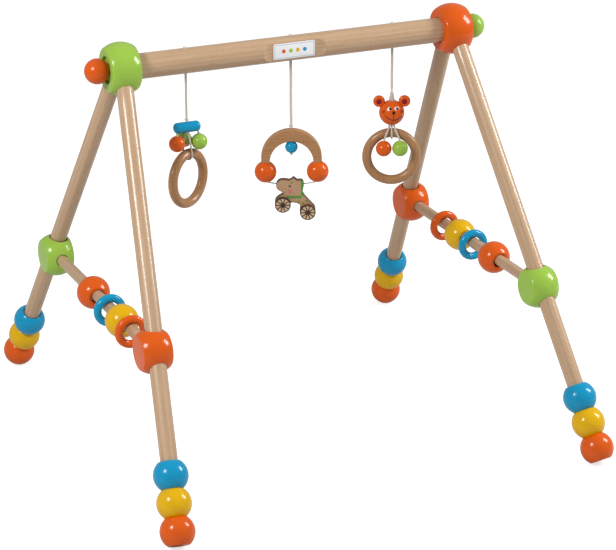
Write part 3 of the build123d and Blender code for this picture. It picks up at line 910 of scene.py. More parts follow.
def plate_material():
    """Satin white plate with a thin border line and a row of plain dots."""
    material, graph, shader = start_material("white plate")
    place = grain_vector(graph)
    apart = graph.add("ShaderNodeSeparateXYZ", {0: place})
    across = graph.math("ABSOLUTE", apart.outputs[0])
    up = graph.math("ABSOLUTE", apart.outputs[1])
    half_long, half_high, inset = 26.5 * MM, 9.5 * MM, 1.5 * MM
    line_outer, line_inner = 0.30 * MM, 0.18 * MM
    from_end = graph.math("SUBTRACT", half_long - inset, across)
    from_edge = graph.math("SUBTRACT", half_high - inset, up)
    nearest = graph.math("MINIMUM", from_end, from_edge)
    border = graph.spread(graph.math("ABSOLUTE", nearest), line_outer, line_inner)
    flat = graph.add("ShaderNodeCombineXYZ", {0: apart.outputs[0], 1: apart.outputs[1]}).outputs[0]
    wear = graph.noise(place, 180.0, 3.0)
    base = graph.mix(graph.math("MULTIPLY", wear, 0.18), colours().plate, (0.66, 0.68, 0.70))
    tint = graph.mix(graph.math("MULTIPLY", border, 0.75), base, (0.10, 0.20, 0.42))
    dot_spacing, dot_radius, dot_softness = 9.0, 2.4, 0.15
    for i, tone in enumerate((colours().orange, colours().green, colours().yellow, colours().blue)):
        centre = ((i - 1.5) * dot_spacing, 0, 0)
        tint = graph.mix(spot_mask(graph, flat, centre, dot_radius, dot_softness), tint, tone)
    graph.join(tint, shader, "Base Color")
    graph.join(graph.math("MULTIPLY_ADD", wear, 0.15, 0.30), shader, "Roughness")
    bump(graph, shader, wear, 0.1, 0.0001)
    return material


def wheel_material():
    """Plywood wheel with a burnt rim, hub and ten burnt spokes."""
    name = "burnt wheel"
    if name in bpy.data.materials:
        return bpy.data.materials[name]
    material, graph, shader = start_material(name)
    place = grain_vector(graph)
    inputs = {
        "Vector": place,
        "Light": four([min(1, c * 1.22) for c in colours().beech_light]),
        "Dark": four(colours().beech_light),
        "Line Spacing": 0.002,
        "Fleck": 0.3,
    }
    wood = group_node(graph, wood_group(), inputs)
    apart = graph.add("ShaderNodeSeparateXYZ", {0: place})
    across, up = apart.outputs[0], apart.outputs[1]
    squares = graph.math("ADD", graph.math("MULTIPLY", across, across), graph.math("MULTIPLY", up, up))
    reach = graph.math("SQRT", squares)
    angle = graph.math("ARCTAN2", up, across)
    half_spokes, spoke_width = 5, 0.55 * MM
    swing = graph.math("ABSOLUTE", graph.math("SINE", graph.math("MULTIPLY", angle, half_spokes)))
    width = graph.math("DIVIDE", half_spokes * spoke_width, graph.math("MAXIMUM", reach, 0.5 * MM))
    spoke = graph.spread(graph.math("DIVIDE", swing, width), 1.5, 0.8)
    rim = graph.spread(reach, 8.0 * MM, 8.4 * MM)
    middle = graph.spread(reach, 2.1 * MM, 1.7 * MM)
    burn = graph.math("MAXIMUM", graph.math("MAXIMUM", spoke, rim), middle)
    tint = graph.mix(burn, wood.outputs["Color"], [c * 0.5 for c in colours().burnt])
    graph.join(tint, shader, "Base Color")
    rough = graph.math("MULTIPLY_ADD", burn, 0.25, wood.outputs["Roughness"])
    graph.join(rough, shader, "Roughness")
    sunk = graph.math("SUBTRACT", wood.outputs["Height"], burn)
    bump(graph, shader, sunk, 0.4, 0.00015)
    return material


def saw(graph, value, spacing):
    """A row of teeth: 0 at their tips, 1 between them."""
    turn = graph.math("FRACT", graph.math("DIVIDE", value, spacing))
    return graph.math("MULTIPLY", graph.math("ABSOLUTE", graph.math("SUBTRACT", turn, 0.5)), 2.0)


def horse_material():
    """Natural plywood with burnt edges, painted eye, cheek, mane, collar and dots."""
    material, graph, shader = start_material("painted horse")
    place = own_place(graph)
    lengthwise = (0, math.radians(82), 0)
    grain = graph.add("ShaderNodeMapping", {"Vector": place, "Rotation": lengthwise})
    inputs = {
        "Vector": grain.outputs["Vector"],
        "Light": four([c * 0.86 for c in colours().beech_light]),
        "Dark": four(colours().warm_light),
        "Line Spacing": 0.003,
        "Fleck": 0.5,
    }
    wood = group_node(graph, wood_group(), inputs)
    apart = graph.add("ShaderNodeSeparateXYZ", {0: place})
    across, up = apart.outputs[0], apart.outputs[2]
    side = graph.add("ShaderNodeCombineXYZ", {0: across, 1: up}).outputs[0]
    burnt = graph.add("ShaderNodeAttribute", attribute_name="burn").outputs["Fac"]
    tint = graph.mix(graph.math("MULTIPLY", burnt, 0.93), wood.outputs["Color"], colours().burnt)

    def spot(x, z, radius, softness, tone, strength=1.0):
        """Adds a spot on both sides of the horse."""
        nonlocal tint
        mask = spot_mask(graph, side, (x, z, 0), radius, softness)
        tint = graph.mix(graph.math("MULTIPLY", mask, strength), tint, tone)

    def inside(value, low, high, soft=0.25):
        """1 between two limits in millimetres, falling softly to 0 outside them."""
        rise = graph.spread(value, (low - soft) * MM, (low + soft) * MM)
        fall = graph.spread(value, (high + soft) * MM, (high - soft) * MM)
        return graph.math("MULTIPLY", rise, fall)

    # The mane runs down the back of the neck, toothed on its inner side.
    teeth = saw(graph, up, 2.7 * MM)
    inner = graph.math("SUBTRACT", across, graph.math("MULTIPLY", teeth, 2.0 * MM))
    mane = graph.math("MULTIPLY", inside(inner, 10.2, 19.0), inside(up, -14.0, 7.0))
    # The collar lies across the neck, toothed on its lower side.
    points = saw(graph, across, 3.1 * MM)
    lower = graph.math("ADD", up, graph.math("MULTIPLY", points, -2.2 * MM))
    collar = graph.math("MULTIPLY", inside(lower, -18.2, -14.0), inside(up, -19.0, -13.8))
    collar = graph.math("MULTIPLY", collar, inside(across, -6.6, 11.5))
    painted = graph.math("MAXIMUM", mane, collar)
    tint = graph.mix(graph.math("MULTIPLY", painted, 0.9), tint, colours().leaf)
    # The eye and its shine, the cheek, and the dots.
    spot(-2.5, -1.2, 1.45, 0.2, colours().black)
    spot(-2.9, -0.7, 0.35, 0.15, (0.8, 0.8, 0.8))
    spot(-1.5, -8.2, 1.7, 1.3, colours().pink, 0.8)
    for x, z in ((0, 2.9), (2.2, -23.0), (8.0, -21.1), (13.6, -23.8), (17.8, -20.2)):
        spot(x, z, 1.15, 0.3, colours().leaf, 0.9)
    graph.join(tint, shader, "Base Color")
    rough = graph.math("MULTIPLY_ADD", burnt, 0.2, graph.math("ADD", wood.outputs["Roughness"], 0.12))
    graph.join(rough, shader, "Roughness")
    relief = graph.math("SUBTRACT", wood.outputs["Height"], burnt)
    bump(graph, shader, relief, 0.3, 0.00012)
    return material


def bear_material():
    """Orange enamel with a painted face on the front of the head."""
    material, graph, shader = start_material("bear face")
    place = own_place(graph)
    coat = group_node(graph, paint_group(), {"Vector": place, "Color": four(colours().orange)})
    face_tip = math.radians(20.6)
    across = graph.dot(place, (1, 0, 0))
    up = graph.dot(place, (0, math.sin(face_tip), math.cos(face_tip)))
    ahead = graph.dot(place, (0, -math.cos(face_tip), math.sin(face_tip)))
    face = graph.add("ShaderNodeCombineXYZ", {0: across, 1: up}).outputs[0]
    front = graph.spread(ahead, 1.0 * MM, 1.5 * MM)
    tint = coat.outputs["Color"]

    def layer(mask, tone, strength=1.0):
        """Paints over what is there, on the front of the head."""
        nonlocal tint
        tint = graph.mix(graph.math("MULTIPLY", graph.math("MULTIPLY", mask, front), strength), tint, tone)

    def spot(x, z, radius, softness):
        """A spot of the face."""
        return spot_mask(graph, face, (x, z, 0), radius, softness)

    # The blushed cheeks, the eyes on their whites, and the nose.
    for x, z in ((-10.4, 0.0), (11.7, 0.2)):
        layer(spot(x, z, 1.3, 0.9), colours().dark_red, 0.75)
    for x, z in ((-2.3, 3.05), (6.1, 3.2)):
        layer(spot(x - 1.2, z + 0.1, 2.0, 0.3), (0.82, 0.80, 0.78))
        layer(spot(x, z, 1.45, 0.2), colours().black)
    layer(spot(1.8, -1.8, 1.9, 0.25), colours().black)
    # The mouth is the low part of a circle, and a short line joins it to the nose.
    mouth_middle, mouth_radius, nose_x = (1.6 * MM, 0.64 * MM, 0), 11.14 * MM, 1.7 * MM
    gap = graph.add("ShaderNodeVectorMath", {0: face, 1: mouth_middle}, operation="DISTANCE")
    off_line = graph.math("ABSOLUTE", graph.math("SUBTRACT", gap.outputs["Value"], mouth_radius))
    line = graph.spread(off_line, 0.55 * MM, 0.32 * MM)
    layer(graph.math("MULTIPLY", line, graph.spread(up, -4.2 * MM, -4.8 * MM)), colours().black)
    off_line = graph.math("ABSOLUTE", graph.math("SUBTRACT", across, nose_x))
    line = graph.spread(off_line, 0.5 * MM, 0.28 * MM)
    line = graph.math("MULTIPLY", line, graph.spread(up, -10.6 * MM, -10.2 * MM))
    layer(graph.math("MULTIPLY", line, graph.spread(up, -2.0 * MM, -2.4 * MM)), colours().black)
    finish_paint(graph, shader, coat, tint)
    return material


def ear_material():
    """Orange enamel with a dark red spot in the front of the ear."""
    material, graph, shader = start_material("bear ear")
    place = own_place(graph)
    coat = group_node(graph, paint_group(), {"Vector": place, "Color": four(colours().orange)})
    spot = spot_mask(graph, place, (0, 0, 2.8), 3.3, 0.3)
    tint = graph.mix(spot, coat.outputs["Color"], colours().dark_red)
    finish_paint(graph, shader, coat, tint)
    return material


def floor_material():
    """Pale matt floor with a very faint mottle, lifted to white where it is seen directly."""
    material, graph, shader = start_material("pale floor")
    place = graph.add("ShaderNodeTexCoord").outputs["Object"]
    mottle = graph.noise(place, 3.0, 2.0)
    tone = colours().floor
    tint = graph.mix(mottle, [c * 0.985 for c in tone], tone)
    graph.join(tint, shader, "Base Color")
    graph.join(graph.math("MULTIPLY_ADD", mottle, 0.05, 0.75), shader, "Roughness")
    shader.inputs["Specular IOR Level"].default_value = 0.15
    seen = graph.add("ShaderNodeLightPath").outputs["Is Camera Ray"]
    glow = graph.math("MULTIPLY", seen, bpy.context.scene.gym_light.floor_glow)
    shader.inputs["Emission Color"].default_value = (1.0, 1.0, 1.0, 1.0)
    graph.join(glow, shader, "Emission Strength")
    return material


# ---- Operators ----
class MakeStage(bpy.types.Operator):
    """Make the camera, the floor, the soft lights and the even light all round"""

    bl_idname = "gym.make_stage"
    bl_label = "Stage"

    def execute(self, context):
        scene = context.scene
        self.camera(scene)
        light = scene.gym_light
        self.softbox(scene, "left softbox", (-0.75, -0.31, 0.58), (0.62, 0.62), light.left_power)
        self.softbox(scene, "right softbox", (0.80, -0.29, 0.53), (0.62, 0.95), light.right_power)
        self.surroundings(scene)
        self.floor(scene)
        scene.view_settings.view_transform = "Standard"
        scene.view_settings.look = "None"
        return {"FINISHED"}

    def camera(self, scene):
        """The camera, from its place, its turns and its lens."""
        place = (-1.0891, -2.5342, 1.2175)
        yaw, pitch, roll = math.radians(23.65), math.radians(20.59), math.radians(-0.37)
        ahead = Vector((math.sin(yaw) * math.cos(pitch), math.cos(yaw) * math.cos(pitch), -math.sin(pitch)))
        level = ahead.to_track_quat("-Z", "Y").to_matrix().to_4x4()
        camera = bpy.data.objects.new("camera", bpy.data.cameras.new("camera"))
        scene.collection.objects.link(camera)
        camera.matrix_world = Matrix.Translation(place) @ level @ Matrix.Rotation(roll, 4, "Z")
        camera.data.lens = 140.4
        camera.data.sensor_width = 36
        camera.data.clip_end = 5 * FLOOR_REACH
        scene.camera = camera

    def softbox(self, scene, name, toward, size, power):
        """A rectangular light that faces the gym's middle from a side."""
        middle, distance = Vector((0, 0, 0.25)), 2.3
        light = bpy.data.lights.new(name, "AREA")
        light.shape = "RECTANGLE"
        light.size, light.size_y = size
        light.energy = power
        item = bpy.data.objects.new(name, light)
        scene.collection.objects.link(item)
        away = Vector(toward).normalized()
        item.matrix_world = aim(-away, middle + away * distance, "-Z")

    def surroundings(self, scene):
        """Even light all round, and plain white where it is seen directly."""
        world = bpy.data.worlds.new("even light")
        world.use_nodes = True
        graph = Graph(world.node_tree)
        shade = world.node_tree.nodes["Background"]
        shade.inputs["Color"].default_value = four((1.0, 1.0, 1.0))
        seen = graph.add("ShaderNodeLightPath").outputs["Is Camera Ray"]
        graph.join(graph.math("MAXIMUM", seen, scene.gym_light.fill), shade, "Strength")
        scene.world = world

    def floor(self, scene):
        """A floor that reaches far behind the gym."""
        bm = bmesh.new()
        bmesh.ops.create_grid(bm, x_segments=8, y_segments=8, size=FLOOR_REACH)
        mesh = bpy.data.meshes.new("floor")
        bm.to_mesh(mesh)
        bm.free()
        mesh.materials.append(floor_material())
        floor = bpy.data.objects.new("floor", mesh)
        scene.collection.objects.link(floor)


def plain_cord(name, routes, diameter, body, nodes, twist=None, sides=8):
    """A piece of short ties, strands or knots."""
    mesh, _ = cord_mesh(routes, diameter, twist, sides)
    piece(name, mesh, cord_material(), body, nodes, sharp=60)


def toy_knot(side, width, thickness):
    """The knot between a hanging cord and its toy."""
    node = f"{side}_cord_knot"
    route = knot_route(centre_of(node), width, thickness)
    plain_cord(f"{side}_knot_tied", [route], thickness, f"{side}_knot", [node])


def make_cord(name, body, node, diameter, points):
    """A cord of twisted strands."""
    mesh, path = cord_mesh([points], diameter)
    item = piece(name, mesh, cord_material(), body, [node], sharp=60)


def hanging_points(node, sway):
    """Points down a hanging cord, a hair off straight."""
    low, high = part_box(node)
    x, top, bottom = (low.x + high.x) / 2, high.z, low.z
    drop = top - bottom
    side = Vector((sway * MM, 0, 0))
    return [
        Vector((x, 0, top)),
        Vector((x, 0, top - 0.3 * drop)) + side,
        Vector((x, 0, top - 0.62 * drop)) - side,
        Vector((x, 0, bottom)),
    ]


class MakeCords(bpy.types.Operator):
    """Make the three hanging cords and the horse's sling"""

    bl_idname = "gym.make_cords"
    bl_label = "Cords"

    def execute(self, context):
        for name, diameter, sway in (("left", 2.4, 0.25), ("middle", 3.0, 0.3), ("right", 2.7, 0.2)):
            node = f"{name}_cord"
            points = hanging_points(node, sway)
            make_cord(f"{name}_hanging_cord", node, node, diameter, points)
        turned = toy_frame((0, 0, centre_of("top_bar").z), shapes().toy_turn)
        out, bend_out, end_drop = round(shapes().arch_leg_out / MM, 3), 22.2, 166.1
        route = [
            (-out, 0, -end_drop),
            (-bend_out, 0, -SLING_DROP),
            (bend_out, 0, -SLING_DROP),
            (out, 0, -end_drop),
        ]
        points = [turned @ (Vector(p) * MM) for p in route]
        make_cord("horse_sling", "middle_toy", "horse_sling_cord", 1.4, points)
        return {"FINISHED"}


class MakeTopBar(bpy.types.Operator):
    """Make the bar with its milled recess, its plate and the stopper knots"""

    bl_idname = "gym.make_top_bar"
    bl_label = "Top bar"

    def execute(self, context):
        low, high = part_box("top_bar")
        half = (high.x - low.x) / 2 / MM
        rod = lathe(rod_profile(BAR_RADIUS, half, ((1.4, 0), (0.4, 0.4), (0, 1.2)), 24))
        # The bar is made along Z, with its front toward -Y and its left end down.
        to_bar = quarter_turn("Y")
        cutters = [(self.recess_cutter(), to_bar.inverted())]
        hole_radius, beyond, cord_out = 2.2, 40, 133.5
        drill_profile = [(0, -beyond), (hole_radius, -beyond), (hole_radius, beyond), (0, beyond)]
        drill = lathe(drill_profile, segments=32)
        for x in (-cord_out, 0, cord_out):
            cutters.append((drill, to_bar.inverted() @ Matrix.Translation((x * MM, 0, 0))))
        bar = carve(rod, cutters)
        place = Matrix.Translation((0, 0, centre_of("top_bar").z)) @ to_bar
        wood = wood_material("beech rod", spacing=0.0055)
        piece("wooden_top_bar", bar, wood, "bar", ["top_bar"], place, 28)
        self.plate()
        self.knots()
        return {"FINISHED"}

    def recess_cutter(self):
        """A long upright block with round ends, which mills the flat behind the plate."""
        half_straight, radius, ahead, steps, reach = 27.5, 21, 31.5, 48, 0.04
        outline = []
        for x, start in ((half_straight, -90), (-half_straight, 90)):
            outline += arc((x, -ahead), radius, start, start + 180, steps)
        bm = bmesh.new()
        ring = [bm.verts.new((x * MM, y * MM, -reach)) for x, y in outline]
        thicken(bm, ring, 2 * reach)
        bmesh.ops.recalc_face_normals(bm, faces=bm.faces)
        cutter = bpy.data.meshes.new("milled")
        bm.to_mesh(cutter)
        bm.free()
        return cutter

    def plate(self):
        """The plate in its recess, with round corners and eased front edges."""
        low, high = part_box("label_plate")
        half = Vector(((high.x - low.x) / 2, (high.z - low.z) / 2))
        corner, thickness, front_ease = 1.6 * MM, 0.8 * MM, 0.25 * MM
        bm = bmesh.new()
        ring = []
        for sx, sy, start in ((1, 1, 0), (-1, 1, 90), (-1, -1, 180), (1, -1, 270)):
            for i in range(7):
                turn = math.radians(start + 15 * i)
                x = sx * (half.x - corner) + corner * math.cos(turn)
                y = sy * (half.y - corner) + corner * math.sin(turn)
                ring.append(bm.verts.new((x, y, 0)))
        moved = thicken(bm, ring, thickness)
        rims = [e for e in bm.edges if all(v in moved for v in e.verts)]
        bmesh.ops.bevel(bm, geom=rims, offset=front_ease, segments=3, profile=0.5, affect="EDGES")
        bmesh.ops.recalc_face_normals(bm, faces=bm.faces)
        mesh = bpy.data.meshes.new("plate")
        bm.to_mesh(mesh)
        bm.free()
        middle = (low + high) / 2
        place = Matrix.Translation((middle.x, high.y, middle.z)) @ quarter_turn("X")
        piece("pale_plate", mesh, plate_material(), "bar", ["label_plate"], place, 40)

    def knots(self):
        """A flat knot on top of the bar for each cord, and the cord from it down the hole."""
        below_top, cord_gap, flatness = 4.4 * MM, 0.4 * MM, 0.45
        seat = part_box("bar_top_knots")[1].z - below_top
        routes = []
        for name in ("left_cord", "middle_cord", "right_cord"):
            x = centre_of(name).x
            routes.append(knot_route((x, 0, seat), 5.0, 2.0, flatness))
            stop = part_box(name)[1].z + cord_gap
            routes.append([(x, 0, seat), (x, 0, (seat + stop) / 2), (x, 0, stop)])
        plain_cord("stopper_knots", routes, 2.3, "bar", ["bar_top_knots"])


def leg_drill(start, flare_start, flare_end, radius, wide, both_ways=False):
    """A drill for a leg's hole, flared where it meets the surface, from a start or both ways."""
    bottom = [(0, start), (radius, start)]
    if both_ways:
        bottom = [(0, -BEYOND), (wide, -BEYOND), (wide, -flare_end), (radius, -flare_start)]
    top = [(radius, flare_start), (wide, flare_end), (wide, BEYOND), (0, BEYOND)]
    return lathe(bottom + top, segments=96)


class MakeFrames(bpy.types.Operator):
    """Make the hubs, legs, joint blocks and crossbars of both side frames"""

    bl_idname = "gym.make_frames"
    bl_label = "Side frames"

    def execute(self, context):
        for side in SIDES:
            self.hub(side)
            for row in ROWS:
                self.leg(side, row)
                self.block(side, row)
            self.crossbar(side)
        return {"FINISHED"}

    def hub(self, side):
        """A hub with its socket for the bar, its pocket for the knob and its two leg holes."""
        size = size_of(f"{side}_hub")
        radius, half = size.y / 2, size.x / 2
        rounding, rim, taper = 3.0, 0.7, 0.05
        outer = faced_side(radius, half, rounding, 40)
        hole, hole_bottom = BAR_RADIUS + 0.3, -5
        socket = [(0, hole_bottom), (hole, hole_bottom), (hole + taper, rim - half), (hole + rim, -half)]
        pocket, pocket_bottom, pocket_rim = KNOB_RADIUS + 0.9, half - 4.3, 0.9
        sunk = [(pocket + 1.0, half), (pocket + 0.1, half - pocket_rim), (pocket, pocket_bottom)]
        body = lathe(socket + outer + sunk + [(0, pocket_bottom)], segments=144)
        upright = aim((SIDES[side], 0, 0))
        web, flare = 1.5, 3.5
        start = hole + web - shapes().leg_offset / MM * math.sin(shapes().leg_spread)
        drill = leg_drill(start, radius - flare, radius, LEG_RADIUS + 0.25, LEG_RADIUS + 1.0)
        cutters = []
        for row in ROWS:
            offset = Vector((0, ROWS[row] * shapes().leg_offset, 0))
            cutters.append((drill, upright.inverted() @ aim(down_leg(side, row), offset)))
        body = carve(body, cutters)
        tone = "green" if side == "left" else "orange"
        place = Matrix.Translation(hub_centre(side)) @ upright
        node = f"{side}_hub"
        painted_piece(f"{node}_ball", body, tone, f"{side}_frame", node, place, 30)

    def leg(self, side, row):
        """A leg, its length worked out from its box and slope, its grain turned its own way."""
        node = f"{side}_{row}_leg"
        low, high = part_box(node)
        down = down_leg(side, row)
        tall = (high.z - low.z) - 2 * LEG_RADIUS * MM * math.sqrt(1 - down.z**2)
        half = tall / abs(down.z) / 2 / MM
        mesh = lathe(rod_profile(LEG_RADIUS, half, ((1.4, 0), (0.4, 0.4), (0, 1.4)), 16), segments=72)
        spin = Matrix.Rotation(math.radians(70 * len(node)), 4, "Z")
        place = aim(down, (low + high) / 2) @ spin
        wood = wood_material("beech rod", spacing=0.0055)
        piece(f"{node}_rod", mesh, wood, f"{side}_frame", [node], place)

    def block(self, side, row):
        """A joint block with its leg's through hole and its crossbar's blind one."""
        upright = aim((SIDES[side], 0, 0))
        middle = block_centre(side, row)
        node = f"{side}_{row}_block"
        radius, half = (middle.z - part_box(node)[0].z) / MM, size_of(node).x / 2
        rounding = 2.0
        outer = faced_side(radius, half, rounding, 36)
        body = lathe([(0, -half)] + outer + [(0, half)], segments=144)
        hole, wide = LEG_RADIUS + 0.4, LEG_RADIUS + 1.6
        drill = leg_drill(0, radius - 6.0, radius + 1.0, hole, wide, both_ways=True)
        offset = on_leg(side, row, middle.z) - middle
        cutters = [(drill, upright.inverted() @ aim(down_leg(side, row), offset))]
        hole, wide = CROSSBAR_RADIUS + 0.25, CROSSBAR_RADIUS + 1.2
        profile = [(0, 0), (hole, 0), (hole, radius - 2.5)]
        profile += [(wide, radius - 0.3), (wide, BEYOND), (0, BEYOND)]
        inward = aim((0, -ROWS[row], 0))
        cutters.append((lathe(profile, segments=64), upright.inverted() @ inward))
        body = carve(body, cutters)
        tone = "orange" if (side, row) in (("left", "front"), ("right", "back")) else "green"
        place = Matrix.Translation(middle) @ upright
        painted_piece(f"{node}_ball", body, tone, f"{side}_frame", node, place, 30)

    def crossbar(self, side):
        """The low rod between a frame's two blocks."""
        node = f"{side}_crossbar"
        low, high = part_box(node)
        half = (high.y - low.y) / 2 / MM
        place = aim((0, 1, 0), (low + high) / 2)
        wood = wood_material("beech thin rod", spacing=0.004, tone=0.94)
        profile = rod_profile(CROSSBAR_RADIUS, half, ((0.8, 0), (0.2, 0.3), (0, 1.0)), 12)
        mesh = lathe(profile, segments=56)
        piece(f"{node}_rod", mesh, wood, f"{side}_frame", [node], place)


class MakeFootBeads(bpy.types.Operator):
    """Make the three beads at the foot of every leg"""

    bl_idname = "gym.make_foot_beads"
    bl_label = "Foot beads"

    def execute(self, context):
        half = FOOT_BEAD_HALF
        bore, rim, bottom = LEG_RADIUS + 0.3, 0.9, 1.7
        through = bored_ball(BEAD_RADIUS, half, BEAD_ROUNDING, bore, rim)
        eased = bored_ball(BEAD_RADIUS, half, BEAD_ROUNDING, LEG_RADIUS + 0.45, 1.3)
        # The lowest bead's hole is blind, and a shallow centre mark lies in its foot.
        mark_depth = 0.2
        blind = [(0, mark_depth - half), (2.2, mark_depth - half), (2.5, -half)]
        blind += faced_side(BEAD_RADIUS, half, BEAD_ROUNDING)
        blind += [(bore + rim, half), (bore, half - rim), (bore, bottom), (0, bottom)]
        for side in SIDES:
            for tone, profile, closed in (
                ("blue", eased, True),
                ("yellow", through, True),
                ("orange", blind, False),
            ):
                node = f"{side}_{tone}_foot_beads"
                height = centre_of(node).z
                places = [aim(-down_leg(side, row), on_leg(side, row, height)) for row in ROWS]
                mesh = pair_of(lathe(profile, closed, segments=96), places, paint(tone))
                painted_piece(f"{node}_turned", mesh, tone, f"{side}_frame", node)
        return {"FINISHED"}


class MakeSliders(bpy.types.Operator):
    """Make the loose balls and rings on the crossbars"""

    bl_idname = "gym.make_sliders"
    bl_label = "Sliding beads and rings"

    def execute(self, context):
        ball = bored_ball(BEAD_RADIUS, LOOSE_BALL_HALF, BEAD_ROUNDING, LOOSE_BALL_BORE, 0.9)
        ring = arc((LOOSE_RING_RADIUS, 0), LOOSE_RING_TUBE, -180, 180, 40)[:-1]
        for side in SIDES:
            for kind in ("orange_ring", "yellow_ball", "blue_ring", "orange_ball"):
                node = f"{side}_sliding_{kind}"
                tone = kind.split("_")[0]
                profile = ring if kind.endswith("ring") else ball
                mesh = lathe(profile, True, segments=96)
                place = aim((0, 1, 0), centre_of(node))
                painted_piece(f"{node}_turned", mesh, tone, f"{side}_{kind}", node, place)
        return {"FINISHED"}


class MakeKnobs(bpy.types.Operator):
    """Make the knobs that tighten the hubs, and finish their screws and sleeves"""

    bl_idname = "gym.make_knobs"
    bl_label = "Knobs"

    def execute(self, context):
        for side, tone in (("left", "orange"), ("right", "green")):
            node = f"{side}_knob"
            low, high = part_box(node)
            face, screw_hole, tip = -14.4, 3.4, 14.97
            ball = arc((0, 0), KNOB_RADIUS, -73.7, 87, 56)
            profile = [(0, face), (screw_hole, face)] + ball + [(0, tip)]
            out = SIDES[side]
            outer = high.x if out > 0 else low.x
            place = aim((out, 0, 0), (outer - out * KNOB_RADIUS * MM, 0, centre_of(node).z))
            painted_piece(f"{node}_ball", lathe(profile), tone, node, node, place)
            finish_node(f"{side}_knob_screw", metal_material("steel", (0.55, 0.55, 0.56), 0.3))
        finish_node("bar_inserts", metal_material("brass", (0.62, 0.44, 0.16), 0.3))
        return {"FINISHED"}


def finish_node(node, material):
    """Gives a part that keeps its own shape a finish."""
    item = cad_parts[node]
    for slot in item.material_slots:
        slot.link = "OBJECT"
        slot.material = material


def gripping_ring(name, node, turn, body):
    """A round wooden ring standing upright."""
    profile = arc((RING_RADIUS, 0), RING_TUBE, -180, 180, 44)[:-1]
    mesh = lathe(profile, True, segments=144)
    place = toy_frame(centre_of(node), turn) @ quarter_turn("X")
    grain = (math.radians(90), 0, 0)
    wood = wood_material("beech ring", turn=grain, spacing=0.0045, lacquer=0.3, kind="warm")
    piece(name, mesh, wood, body, [node], place)


def small_balls(names, body, place_turn=0.0):
    """The small glossy balls, with a cord hole in the top and the bottom."""
    for node, tone in names:
        mesh = lathe(drilled_ball(size_of(node).z / 2, 1.1, bottom_hole=1.1), segments=72)
        place = toy_frame(centre_of(node), place_turn)
        painted_piece(f"{node}_turned", mesh, tone, body, node, place)


def loop_route(middle, turn, radius, half_gap, top):
    """A cord loop from above, under a ring's bar and back up, in a plane across the ring."""
    frame_at = toy_frame(middle, turn)
    steps = 8
    points = [Vector((0, -half_gap, top))]
    for i in range(steps + 1):
        angle = math.radians(180 + 180 / steps * i)
        points.append(Vector((0, radius * math.cos(angle), radius * math.sin(angle))))
    points.append(Vector((0, half_gap, top)))
    return [frame_at @ (p * MM) for p in points]


class MakeLeftToy(bpy.types.Operator):
    """Make the peg with its three balls and gripping ring"""

    bl_idname = "gym.make_left_toy"
    bl_label = "Left toy"

    def execute(self, context):
        peg = centre_of("blue_peg")
        size = size_of("blue_peg")
        flat_end = 1.5
        half, rounding = size.x / 2, size.z / 2 - flat_end
        upper = arc((flat_end, half - rounding), rounding, 0, 90, 12) + [(0, half)]
        place = toy_frame(peg) @ quarter_turn("Y")
        mesh = lathe(mirrored(upper[::-1]) + upper, segments=72)
        painted_piece("blue_peg_turned", mesh, "blue", "left_toy", "blue_peg", place)
        balls = [("peg_orange_ball", "orange"), ("peg_green_ball", "green"), ("peg_middle_ball", "green")]
        small_balls(balls, "left_toy")
        gripping_ring("left_wooden_ring", "left_gripping_ring", shapes().left_ring_turn, "left_ring")
        toy_knot("left", 5.0, 1.9)
        self.ties(peg)
        return {"FINISHED"}

    def ties(self, peg):
        """The strand and knot of each ball, and the loop round the gripping ring."""
        routes = []
        # Each ball's strand leaves the underside of the peg and ends inside the ball's hole.
        under = Vector((0, 0, -0.55 * size_of("blue_peg").z / 2 * MM))
        starts = {"peg_orange_ball": -12.5, "peg_green_ball": 12.5, "peg_middle_ball": -4.0}
        in_hole, knot_above = 0.8, 1.1 * MM
        slack = Vector((0.5 * MM, -0.4 * MM, 0))
        for node, start in starts.items():
            top = centre_of(node) + Vector((0, 0, (size_of(node).z / 2 - in_hole) * MM))
            out = peg + Vector((start * MM, 0, 0)) + under
            routes.append([out, out.lerp(top, 0.4) + slack, out.lerp(top, 0.75) - slack, top])
            routes.append(knot_route(top + Vector((0, 0, knot_above)), 2.8, 1.2))
        ring_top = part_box("left_gripping_ring")[1].z
        tube = Vector((peg.x, 0, ring_top - RING_TUBE * MM))
        loop_radius, loop_half_gap, below_peg, knot_height = 7.0, 2.0, 4.5, 11.0 * MM
        top = (peg.z - tube.z) / MM - below_peg
        routes.append(loop_route(tube, shapes().left_ring_turn, loop_radius, loop_half_gap, top))
        routes.append(knot_route(tube + Vector((0, 0, knot_height)), 4.2, 1.5))
        plain_cord("peg_cord_ties", routes, 1.8, "left_toy", ["peg_tie_cords"], 3.6 * MM, 7)


